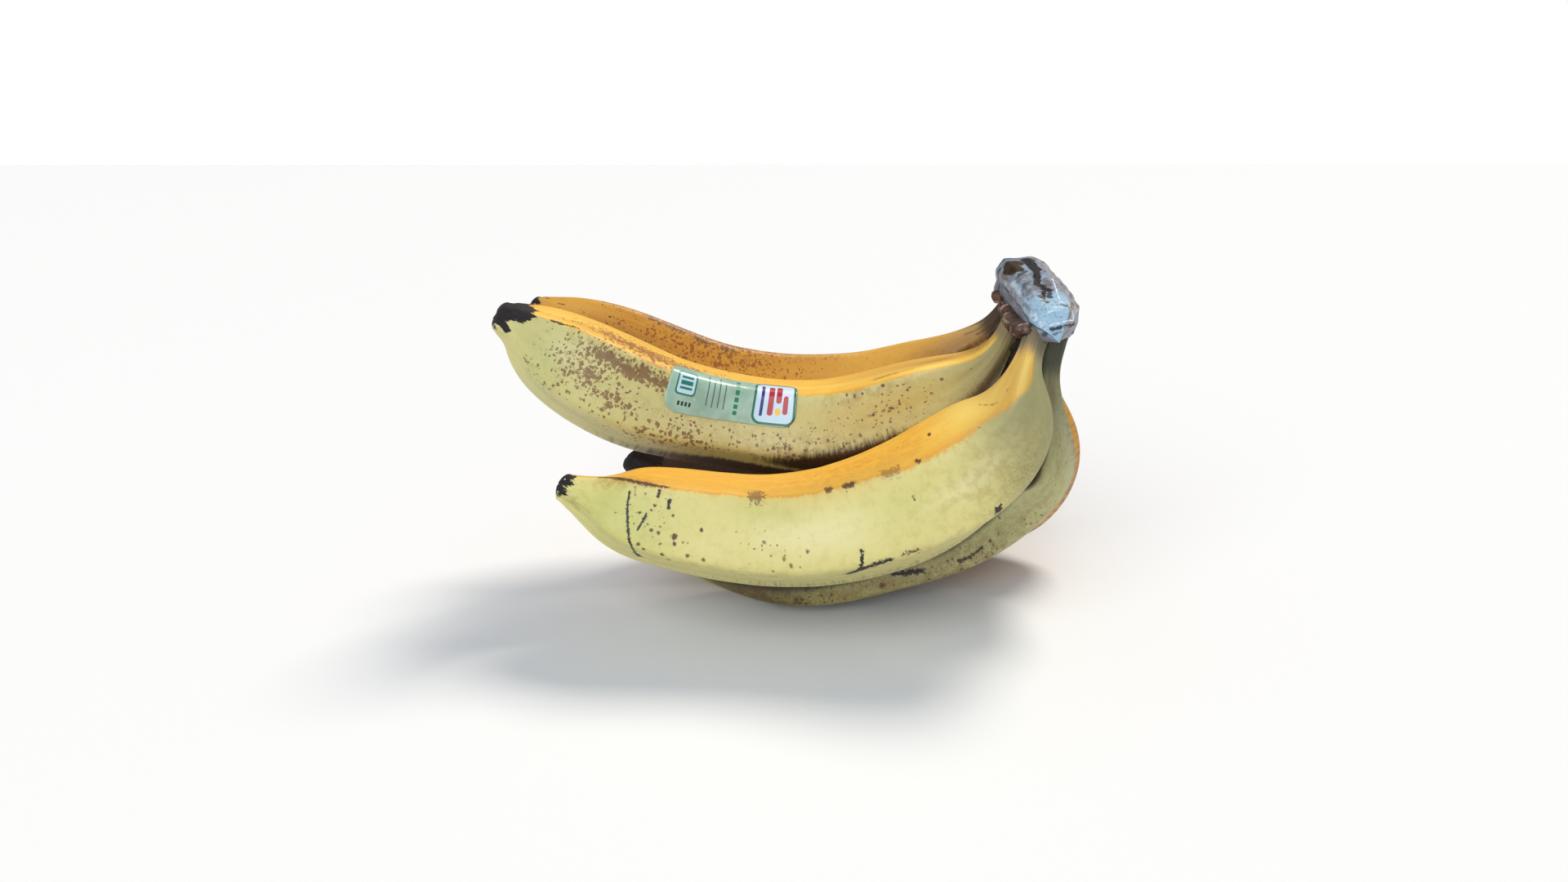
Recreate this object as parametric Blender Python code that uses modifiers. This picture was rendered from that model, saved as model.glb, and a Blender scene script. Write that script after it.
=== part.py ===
"""A hand of five ripe bananas, joined at the crown and lying on its curved side.

The five fruit and the crown grew as one piece, so they are one solid: banana_hand.
Two thin made pieces lie on it: crown_film, the plastic wrapped over the cut crown, and
fruit_label, the sticker on the middle banana. Units are metres, +Z is up, and the origin
is on the table under the middle of the hand. The crown is at +X and the tips are at -X.
"""

import math

import bmesh
import bpy
import numpy as np
from mathutils import Euler, Matrix, Vector

MM = 0.001

# Each banana's centreline from the crown to the tip: x, y, z and radius, in millimetres, and
# how far its ridges are turned round it there, in degrees.
FRONT = [
    (72, -27, 102, 6, -40),
    (67, -35.5, 90, 5.6, -50),
    (65, -36.5, 79.5, 11.9, -38),
    (59, -36.5, 68, 16.4, -34),
    (38.5, -39, 52, 19.2, -19),
    (3, -40, 40, 18.1, -14),
    (-28.5, -39, 40.5, 16.6, -14),
    (-56, -38, 45.5, 13.8, -9),
    (-66.5, -37, 48.5, 9.1, 5),
    (-76.5, -37, 53, 4.6, 10),
]
FRONT_LOWER = [
    (78.5, -19, 100, 7, -40),
    (77, -17.5, 82, 6, -45),
    (80.5, -15.5, 59.5, 9, -45),
    (77.5, -10, 47.5, 12.7, -25),
    (56, -7.5, 31.5, 17.8, -5),
    (27, -8.5, 21.5, 17.8, -5),
    (-5.5, -10.5, 16.5, 16.8, -5),
    (-31.5, -11, 22.5, 13.9, 0),
    (-50.5, -12, 28.5, 9.5, 0),
    (-62, -13, 34, 4.5, 0),
]
MIDDLE = [
    (70, -8, 101, 5.9, 0),
    (63, -6, 90.5, 4.6, 0),
    (54, -3.5, 80, 9.5, 11),
    (34.5, -1, 70, 14.4, 13),
    (10, 2, 61, 16.9, 15),
    (-26.5, 3, 64, 15.9, 15),
    (-57, -0.5, 73, 17.6, 14),
    (-85, -1, 89, 14.8, 13),
    (-94.5, -4, 97.5, 8.9, 15),
    (-100.5, -5.5, 101.5, 5.5, 15),
]
REAR = [
    (75, 25.5, 103, 6, 0),
    (70.5, 35.5, 89.5, 4.7, -10),
    (58.5, 42.5, 80, 7, -34),
    (42.5, 44.5, 72, 10.9, -34),
    (22, 44.5, 64, 14.7, -34),
    (-7, 43.5, 62, 16.3, -34),
    (-37, 41.5, 68, 16.3, -34),
    (-64.5, 40, 80, 15.4, -34),
    (-86, 38.5, 91, 10.4, -34),
    (-99, 38, 97.5, 3.9, -34),
]
REAR_LOWER = [
    (78, 13, 101, 7, 0),
    (81, 17, 85.5, 5.8, 0),
    (84.5, 22, 67, 8.6, 0),
    (88.5, 25.5, 47.5, 13.9, 0),
    (80.5, 27.5, 29, 17.7, 0),
    (47.5, 29, 18.5, 17.7, 0),
    (7.5, 30, 17.2, 17.2, 0),
    (-28.5, 31.5, 21.5, 14.9, 0),
    (-52, 32, 29.5, 10, 0),
    (-65.5, 33.5, 38.5, 4.5, 0),
]
BANANAS = {
    "front": FRONT,
    "front_lower": FRONT_LOWER,
    "middle": MIDDLE,
    "rear": REAR,
    "rear_lower": REAR_LOWER,
}
PATH_SAMPLES = 1500
TANGENT_STEP = 0.004  # share of a banana's length
RINGS = 34
SIDES = 20
RING_CROWDING = 0.5  # share of the rings drawn towards the neck and the tip
RING_LEAN = 1.15  # above 1 draws the rings towards the neck
FACES = 5  # a banana is five-sided, with its angles rounded
FLAT_SCALE = 0.925  # middle of a flat face, as a share of the radius
RIDGE_POWER = 11  # higher gives sharper ridges
TIP_CAP = 1.2  # millimetres that the rounded end stands past the last ring
TIP_CAP_RADIUS = 0.7

# The crown pad from front to rear: x, y, z, half width and half height, in millimetres.
PAD = [
    (78, -31.5, 101.5, 3, 3),
    (78.5, -28, 102.5, 6.2, 5.2),
    (79, -15.5, 104, 7.8, 6.6),
    (79, 0.5, 106, 8.2, 7.2),
    (78.5, 16.5, 108, 8.4, 7.4),
    (78, 28, 109.5, 8, 6.6),
    (78, 32, 110, 4.5, 4),
]
# The brown tissue under the pad that the necks grow out of, given the same way.
COLLAR = [
    (74, -28.5, 97, 3.5, 3),
    (74.5, -23.5, 97, 6.5, 5),
    (72.5, -7.5, 98, 7, 5),
    (73, 8.5, 99.5, 7, 5),
    (74, 22.5, 101, 7, 5),
    (75, 30.5, 102, 3.5, 3),
]
# The dried stump of a fruit that never grew, beside the rear neck, given the same way.
KNOB = [
    (67.5, 15.5, 103, 1.6, 1.4),
    (67, 17.5, 103, 3.4, 3),
    (67, 21.5, 103.5, 3.4, 3),
    (67.5, 23.5, 103.5, 1.6, 1.4),
]
LUMP_SIDES = 20
LUMP_RINGS = 14
LUMP_POWER = 2.6  # 2 is an ellipse, more is a rounder box

# The hood over the pad, in millimetres.
FILM_GAP = 0.45
FILM_THICKNESS = 0.7
FILM_NECK_GAP = 0.5
FILM_NECK_REACH = 0.12  # share of each banana's length that the hood is kept clear of
FILM_HEM = (79, 101, 60)  # x and z of the lower hem's middle, and how far it is cut down
FILM_HEM_TILT = math.radians(-12)

# The sticker, in millimetres.
LABEL_MIDDLE = -26  # x of the label's middle on its banana
LABEL_LENGTH = 49
LABEL_WIDTH = 18
LABEL_CORNER = 5
LABEL_AROUND = math.radians(-35)  # from the inner side round to the front face
LABEL_GAP = 0.35
LABEL_THICKNESS = 0.4
LABEL_COLUMNS = 20
LABEL_ROWS = 13
LABEL_SIDE = 1  # the sheet thickens away from the fruit

TABLE = 0.4  # metres, side of the block that flattens the two lowest bananas
WELD = 0.00002  # metres
SMOOTH_UNDER = math.radians(35)

PEEL = ("ripe_peel", (0.80, 0.58, 0.14), 0.48)
FILM = ("clear_wrap", (0.55, 0.60, 0.64), 0.22)
LABEL = ("label_paper", (0.55, 0.66, 0.50), 0.4)


def natural_spline(knots, values, where):
    """A cubic through the values at the knots, with continuous bend and straight ends."""
    gap = np.diff(knots)
    count = len(knots)
    system = np.eye(count)
    right = np.zeros_like(values)
    slope = np.diff(values, axis=0) / gap[:, None]
    for i in range(1, count - 1):
        system[i, i - 1 : i + 2] = gap[i - 1], 2 * (gap[i - 1] + gap[i]), gap[i]
        right[i] = 6 * (slope[i] - slope[i - 1])
    bend = np.linalg.solve(system, right)
    cell = np.clip(np.searchsorted(knots, where) - 1, 0, count - 2)
    width = gap[cell, None]
    after = (where[:, None] - knots[cell, None]) / width
    before = 1 - after
    curve = before * values[cell] + after * values[cell + 1]
    sag = (before**3 - before) * bend[cell] + (after**3 - after) * bend[cell + 1]
    return curve + sag * width**2 / 6


def along_path(points, stations):
    """Rows of a smooth path at the given shares of its length."""
    rows = np.array(points, float)
    steps = np.linalg.norm(np.diff(rows[:, :3], axis=0), axis=1)
    knots = np.concatenate(([0], np.cumsum(np.sqrt(steps))))
    fine = natural_spline(knots, rows, np.linspace(0, knots[-1], PATH_SAMPLES))
    length = np.concatenate(([0], np.cumsum(np.linalg.norm(np.diff(fine[:, :3], axis=0), axis=1))))
    wanted = np.asarray(stations) * length[-1]
    return np.stack([np.interp(wanted, length, column) for column in fine.T], axis=1)


def skin(points, stations):
    """Centres, directions towards the inner side and across, radii and turns at the stations."""
    rows = along_path(points, stations)
    ahead = along_path(points, np.clip(stations + TANGENT_STEP, 0, 1))
    behind = along_path(points, np.clip(stations - TANGENT_STEP, 0, 1))
    along = ahead[:, :3] - behind[:, :3]
    along /= np.linalg.norm(along, axis=1, keepdims=True)
    start, middle, end = along_path(points, np.array([0, 0.5, 1]))[:, :3]
    plane = np.cross(start - middle, end - middle)
    inward = np.cross(plane, along)
    inward /= np.linalg.norm(inward, axis=1, keepdims=True)
    if np.dot(inward[len(inward) // 2], (start + end) / 2 - middle) < 0:
        inward = -inward
    across = np.cross(along, inward)
    return rows[:, :3], inward, across, rows[:, 3], np.radians(rows[:, 4])


def five_sided(around):
    """Distance to a rounded pentagon with a flat face on the inner side, for a radius of 1."""
    faces = np.arange(FACES) * math.tau / FACES
    facing = np.clip(np.cos(np.asarray(around)[..., None] - faces), 0, None)
    return FLAT_SCALE * (facing**RIDGE_POWER).sum(-1) ** (-1 / RIDGE_POWER)


def skin_points(points, stations, around, lift=0.0, turned=False):
    """Points on a banana's skin, one for each station and angle, raised by the lift.

    The angles are from the inner side, or from the turned flat face where turned is true.
    """
    centre, inward, across, radius, turn = skin(points, np.asarray(stations, float))
    around = around + turned * turn[:, None]
    reach = radius[:, None] * five_sided(around - turn[:, None]) + lift
    out = np.cos(around)[..., None] * inward[:, None] + np.sin(around)[..., None] * across[:, None]
    return centre[:, None] + reach[..., None] * out


def banana_rings(points, lift=0.0, reach=1.0):
    """Rings along a banana as far as a share of its length, and a short rounded cap."""
    even = np.linspace(0, 1, RINGS)
    crowded = (1 - np.cos(math.pi * even)) / 2
    stations = ((1 - RING_CROWDING) * even + RING_CROWDING * crowded) ** RING_LEAN * reach
    around = np.arange(SIDES) * math.tau / SIDES
    rings = skin_points(points, stations, around, lift, turned=True)
    middles = rings.mean(axis=1)
    backward = middles[0] - middles[1]
    onward = middles[-1] - middles[-2]
    rings[0] += backward * lift / np.linalg.norm(backward)
    onward *= (TIP_CAP + lift) / np.linalg.norm(onward)
    cap = middles[-1] + onward + (rings[-1] - middles[-1]) * TIP_CAP_RADIUS
    return np.concatenate([rings, cap[None]])


def lump_rings(points, lift=0.0):
    """Rounded-box rings that stand across the y axis, from a path with half sizes."""
    rows = along_path(points, np.linspace(0, 1, LUMP_RINGS))
    around = np.arange(LUMP_SIDES) * math.tau / LUMP_SIDES
    cosine, sine = np.cos(around), np.sin(around)
    reach = (np.abs(cosine) ** LUMP_POWER + np.abs(sine) ** LUMP_POWER) ** (-1 / LUMP_POWER)
    rings = np.repeat(rows[:, None, :3], LUMP_SIDES, axis=1)
    rings[..., 0] += (rows[:, 3, None] + lift) * reach * cosine
    rings[..., 2] += (rows[:, 4, None] + lift) * reach * sine
    rings[0, :, 1] -= lift
    rings[-1, :, 1] += lift
    return rings


def link(name, mesh, collection):
    body = bpy.data.objects.new(name, mesh)
    collection.objects.link(body)
    return body


def loft(name, rings, collection):
    """A closed solid through rings given in millimetres."""
    form = bmesh.new()
    loops = [[form.verts.new(Vector(corner) * MM) for corner in ring] for ring in rings]
    for here, there in zip(loops, loops[1:]):
        for i in range(len(here)):
            j = (i + 1) % len(here)
            form.faces.new((here[i], here[j], there[j], there[i]))
    form.faces.new(reversed(loops[0]))
    form.faces.new(loops[-1])
    bmesh.ops.recalc_face_normals(form, faces=form.faces)
    bmesh.ops.triangulate(form, faces=form.faces)
    mesh = bpy.data.meshes.new(name)
    form.to_mesh(mesh)
    form.free()
    return link(name, mesh, collection)


def boolean(body, operation, collection):
    """Join a collection's solids to a body, or cut them from it, and keep the result."""
    step = body.modifiers.new(operation.lower(), "BOOLEAN")
    step.operation = operation
    step.solver = "EXACT"
    step.operand_type = "COLLECTION"
    step.collection = collection
    settled = body.evaluated_get(bpy.context.evaluated_depsgraph_get())
    mesh = bpy.data.meshes.new_from_object(settled)
    body.modifiers.remove(step)
    body.data = mesh
    for tool in list(collection.objects):
        bpy.data.objects.remove(tool)


def clean(body):
    """Weld the slivers that a cut leaves."""
    form = bmesh.new()
    form.from_mesh(body.data)
    bmesh.ops.remove_doubles(form, verts=form.verts, dist=WELD)
    bmesh.ops.dissolve_degenerate(form, edges=form.edges, dist=WELD)
    loose = [edge for edge in form.edges if not edge.link_faces]
    bmesh.ops.delete(form, geom=loose, context="EDGES")
    bmesh.ops.triangulate(form, faces=form.faces)
    form.to_mesh(body.data)
    form.free()


def finish(body, look):
    """Give a node its own material and its shading."""
    name, colour, roughness = look
    material = bpy.data.materials.new(name)
    material.use_nodes = True
    shader = material.node_tree.nodes["Principled BSDF"]
    shader.inputs["Base Color"].default_value = (*colour, 1)
    shader.inputs["Roughness"].default_value = roughness
    body.data.materials.clear()
    body.data.materials.append(material)
    body.data.shade_smooth()
    body.data.set_sharp_from_angle(angle=SMOOTH_UNDER)


def block(name, middle, size, tilt, collection):
    """A box to cut with, turned about the y axis."""
    form = bmesh.new()
    bmesh.ops.create_cube(form, size=1)
    mesh = bpy.data.meshes.new(name)
    form.to_mesh(mesh)
    form.free()
    mesh.transform(Matrix.LocRotScale(Vector(middle), Euler((0, tilt, 0)), Vector(size)))
    return link(name, mesh, collection)


def make_hand(model, tools):
    """The five bananas and the crown, joined, and flat where they touch the table."""
    hand = loft("banana_hand", lump_rings(PAD), model)
    loft("collar", lump_rings(COLLAR), tools)
    loft("knob", lump_rings(KNOB), tools)
    for name, points in BANANAS.items():
        loft(name, banana_rings(points), tools)
    boolean(hand, "UNION", tools)
    block("table", (0, 0, -TABLE / 2), (TABLE,) * 3, 0, tools)
    boolean(hand, "DIFFERENCE", tools)
    clean(hand)
    finish(hand, PEEL)


def make_film(model, tools):
    """A thin hood over the crown pad, clear of it, of the collar and of the necks."""
    film = loft("crown_film", lump_rings(PAD, FILM_GAP + FILM_THICKNESS), model)
    loft("inside", lump_rings(PAD, FILM_GAP), tools)
    loft("collar_room", lump_rings(COLLAR, FILM_NECK_GAP), tools)
    loft("knob_room", lump_rings(KNOB, FILM_NECK_GAP), tools)
    for name, points in BANANAS.items():
        loft(name + "_room", banana_rings(points, FILM_NECK_GAP, FILM_NECK_REACH), tools)
    x, z, depth = FILM_HEM
    block("hem", (x * MM, 0, (z - depth / 2) * MM), (depth * MM,) * 3, FILM_HEM_TILT, tools)
    boolean(film, "DIFFERENCE", tools)
    clean(film)
    finish(film, FILM)


def label_patch(columns, rows):
    """Stations and angles of a label with round corners, on the middle banana."""
    line = along_path(MIDDLE, np.linspace(0, 1, PATH_SAMPLES))
    steps = np.linalg.norm(np.diff(line[:, :3], axis=0), axis=1)
    run = np.concatenate(([0], np.cumsum(steps)))
    middle = np.interp(-LABEL_MIDDLE, -line[:, 0], run)
    radius = np.interp(-LABEL_MIDDLE, -line[:, 0], line[:, 3])
    down = np.sin(np.linspace(-1, 1, rows) * math.pi / 2) * LABEL_WIDTH / 2
    past = np.clip(np.abs(down) - (LABEL_WIDTH / 2 - LABEL_CORNER), 0, LABEL_CORNER)
    half = LABEL_LENGTH / 2 - LABEL_CORNER + np.sqrt(LABEL_CORNER**2 - past**2)
    share = np.linspace(-1, 1, columns)
    stations = (middle + half[:, None] * share) / run[-1]
    return stations, LABEL_AROUND - down / radius


def make_label(model):
    """The sticker: a thin sheet that follows the skin, a hair clear of it."""
    stations, angles = label_patch(LABEL_COLUMNS, LABEL_ROWS)
    sheet = [skin_points(MIDDLE, row, [turn], LABEL_GAP)[:, 0] for row, turn in zip(stations, angles)]
    form = bmesh.new()
    grid = [[form.verts.new(Vector(point) * MM) for point in row] for row in sheet]
    for upper, lower in zip(grid, grid[1:]):
        for i in range(LABEL_COLUMNS - 1):
            form.faces.new((upper[i], upper[i + 1], lower[i + 1], lower[i]))
    mesh = bpy.data.meshes.new("fruit_label")
    form.to_mesh(mesh)
    form.free()
    label = link("fruit_label", mesh, model)
    wall = label.modifiers.new("paper", "SOLIDIFY")
    wall.thickness = LABEL_THICKNESS * MM
    wall.offset = LABEL_SIDE
    finish(label, LABEL)


def main():
    for thing in list(bpy.data.objects):
        bpy.data.objects.remove(thing)
    scene = bpy.context.scene
    model = bpy.data.collections.new("hand_of_bananas")
    tools = bpy.data.collections.new("cutters")
    scene.collection.children.link(model)
    scene.collection.children.link(tools)
    tools.hide_render = True
    make_hand(model, tools)
    make_film(model, tools)
    make_label(model)


main()
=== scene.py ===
"""Looks for a hand of five ripe bananas that lies on its curved side.

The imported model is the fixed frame. Five fruit with freckled peel and the brown crown
tissue stand for the one CAD solid, a crumpled wrap stands for the hood over the crown, and
a plain printed sticker stands for the label. Lengths in the tables are millimetres.
"""

import math

import bpy
import numpy as np
from bpy.props import FloatProperty, FloatVectorProperty, IntProperty, PointerProperty
from bpy.types import Operator, Panel, PropertyGroup
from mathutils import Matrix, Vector


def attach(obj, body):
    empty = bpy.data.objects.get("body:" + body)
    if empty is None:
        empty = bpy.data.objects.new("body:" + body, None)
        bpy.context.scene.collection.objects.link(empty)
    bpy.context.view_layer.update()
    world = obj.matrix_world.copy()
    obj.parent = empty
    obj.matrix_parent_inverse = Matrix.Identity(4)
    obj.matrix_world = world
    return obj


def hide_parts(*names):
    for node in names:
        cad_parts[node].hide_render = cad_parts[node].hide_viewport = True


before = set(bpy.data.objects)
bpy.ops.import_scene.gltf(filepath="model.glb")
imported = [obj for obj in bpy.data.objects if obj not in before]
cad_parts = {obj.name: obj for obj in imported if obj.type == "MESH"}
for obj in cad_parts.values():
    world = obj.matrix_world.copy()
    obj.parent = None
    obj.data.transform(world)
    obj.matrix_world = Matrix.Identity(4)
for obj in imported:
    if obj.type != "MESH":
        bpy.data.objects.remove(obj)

bl_info = {
    "name": "Hand of Bananas",
    "version": (1, 0, 0),
    "blender": (4, 5, 0),
    "location": "View3D > Sidebar > Bananas",
    "description": "Builds a hand of ripe bananas with a wrapped crown and a plain sticker",
    "category": "Add Mesh",
}

MM = 0.001

# Each centreline from the crown to the tip: x, y, z, radius, and the turn of the ridges.
BANANAS = {
    "front": [
        (72, -25.2, 99.2, 4.2, -40), (67, -35.5, 90, 5.6, -50), (65, -36.5, 79.5, 11.9, -38),
        (59, -36.5, 68, 16.4, -34), (38.5, -39, 52, 19.2, -19), (3, -40, 40, 18.1, -14),
        (-28.5, -39, 40.5, 16.6, -14), (-56, -38, 45.5, 13.8, -9), (-66.5, -37, 48.5, 9.1, 5),
        (-76.5, -37, 53, 4.6, 10),
    ],
    "front_lower": [
        (78, -19, 100, 6.3, -40), (77, -17.5, 82, 5.8, -45), (80.5, -15.5, 59.5, 9, -45),
        (77.5, -10, 47.5, 12.7, -25), (56, -7.5, 31.5, 17.8, -5), (27, -8.5, 21.5, 17.8, -5),
        (-5.5, -10.5, 16.5, 16.8, -5), (-31.5, -11, 22.5, 13.9, 0), (-50.5, -12, 28.5, 9.5, 0),
        (-62, -13, 34, 4.5, 0),
    ],
    "middle": [
        (68.3, -8, 100.4, 3.3, 0), (64.2, -6.4, 90.7, 4.6, 0), (54.5, -3.5, 79.6, 10, 11),
        (34.5, -1, 70, 14.4, 13), (10, 2, 61, 16.9, 15), (-26.5, 3, 64, 15.9, 15),
        (-57, -0.5, 73, 17.6, 14), (-85, -1, 89, 14.8, 13), (-94.5, -4, 97.5, 8.9, 15),
        (-100.5, -5.5, 101.5, 5.5, 15),
    ],
    "rear": [
        (76.5, 24.5, 103, 4.4, 0), (70.5, 35.5, 89.5, 4.7, -10), (58.5, 42.5, 80, 7, -34),
        (42.5, 44.5, 72, 10.9, -34), (22, 44.5, 64, 14.7, -34), (-7, 43.5, 62, 16.3, -34),
        (-37, 41.5, 68, 16.3, -34), (-64.5, 40, 80, 15.4, -34), (-86, 38.5, 91, 10.4, -34),
        (-99, 38, 97.5, 3.9, -34),
    ],
    "rear_lower": [
        (78, 13, 101, 7, 0), (81, 17, 85.5, 5.8, 0), (84.5, 22, 67, 8.6, 0),
        (88.5, 25.5, 47.5, 13.9, 0), (80.5, 27.5, 29, 17.7, 0), (47.5, 29, 18.5, 17.7, 0),
        (7.5, 30, 17.2, 17.2, 0), (-28.5, 31.5, 21.5, 14.9, 0), (-52, 32, 29.5, 10, 0),
        (-65.5, 33.5, 38.5, 4.5, 0),
    ],
}
# The place on a fruit that its marks are measured to, at the tip end.
MEASURED_TO = {"front": 185.0, "middle": 197.1, "rear": 203.3}
PATH_SAMPLES = 1500
TANGENT_STEP = 0.004
RING_CROWDING = 0.35
FACES = 5
FLAT_SCALE = 0.925
RIDGE_SHARP = 13
RIDGE_SOFT = 6
NECK_FADE = (10, 46)  # millimetres along over which the neck's pleats and soft ridges end
TIP_FADE = 14  # length at the tip over which the ridges get softer
ROUGH_TIP = (6, 1)  # millimetres from the tip's end where its roughness begins, and is full
CAP_RINGS = 7
TIP_CAP = 2.3
CAP_FULLNESS = 0.85
BLACK_FADE = (3, 6)  # millimetres before and past its edge over which the tip's black comes in
# Cell and height of the noise on a fruit: slow lumps, the neck's pleats and the rough tip.
LUMP_CELL = 22
PLEAT_CELL, PLEAT_HEIGHT = 1.6, 0.35
ROUGH_CELL, ROUGH_HEIGHT = 1.8, 0.45
CAP_CELL, CAP_HEIGHT = 2.2, 0.35
HOLLOW = 0.25  # share of the lumps' height by which the middle of a face is hollowed
SIDE_SPAN = 17  # radius that turns an angle round a fruit into millimetres on its peel map

# The crown's lumps from front to rear: x, y, z, half width and half height.
PAD = [
    (78, -31.5, 101.5, 3, 3), (78.5, -28, 102.5, 6.2, 5.2), (79, -15.5, 104, 7.8, 6.6),
    (79, 0.5, 106, 8.2, 7.2), (78.5, 16.5, 108, 8.4, 7.4), (78, 28, 109.5, 8, 6.6),
    (78, 32, 110, 4.5, 4),
]
COLLAR = [
    (68.3, -29.6, 101.2, 1, 0.7), (68.9, -27.4, 101, 3, 1.8), (70.4, -23, 100.7, 4.7, 2.4),
    (72.6, -15, 100, 5.8, 2.8), (71.2, -6, 99.3, 5.8, 3.2), (73, 8.5, 100.2, 5.2, 3.8),
    (75, 22.5, 101.4, 5, 3.8), (75.5, 29.5, 102.4, 3, 2.6),
]
KNOB = [
    (69, 17.3, 104.2, 1, 1), (68.3, 18.8, 104.2, 1.9, 2), (68.3, 21, 104.4, 1.9, 2),
    (69, 22.4, 104.4, 1, 1),
]
# The tissue between the necks of the upper and the lower row, which fills the gap there
# and is painted nearly black as shade.
WEB = [
    (71, -9.5, 91, 2, 4), (70, -6.5, 88.5, 4.4, 8.5), (69, -2, 86, 6.2, 10.8),
    (69.5, 4, 86.5, 7, 11), (72.5, 12, 90, 5, 8), (74, 17, 93, 2, 4),
]
WEB_UNDER = 94.5  # z under which the tissue between the necks is painted dark as shade
WEB_FADE = 2.5  # height over which that painted shade fades out
# How far the tissue reaches along each neck.
SLEEVES = {"front_lower": 4, "middle": 3.5, "rear": 3, "rear_lower": 8}
SLEEVE_RINGS = 24
SLEEVE_SIDES = 60
SLEEVE_LIFT = 0.3  # how far a sleeve stands off the neck at its start
SLEEVE_SINK = 0.8  # how far it sinks from there by its end
# Each lump's points, rings, sides, what is added to its half sizes, and the share of its
# path left off at both ends.
LUMPS = [(PAD, 60, 60, -1.1, 0.035), (COLLAR, 50, 50), (KNOB, 24, 30), (WEB, 40, 30)]
SMOOTH_ROUNDS = 3
KNOB_NOISE, GRAIN_NOISE = (3.4, 71), (1.2, 77)  # cell and seed
# Height of the tissue's knobs and grain under the wrap, and what is added where it is bare.
KNOB_HEIGHT, KNOB_BARE = 0.4, 0.6
GRAIN_HEIGHT, GRAIN_BARE = 0.15, 0.2
TISSUE_SINK = 0.1
BARE_UNDER = (102.0, 104.0)  # z under which tissue is bare, and above which it is wrapped
LUMP_POWER = 2.6
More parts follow.
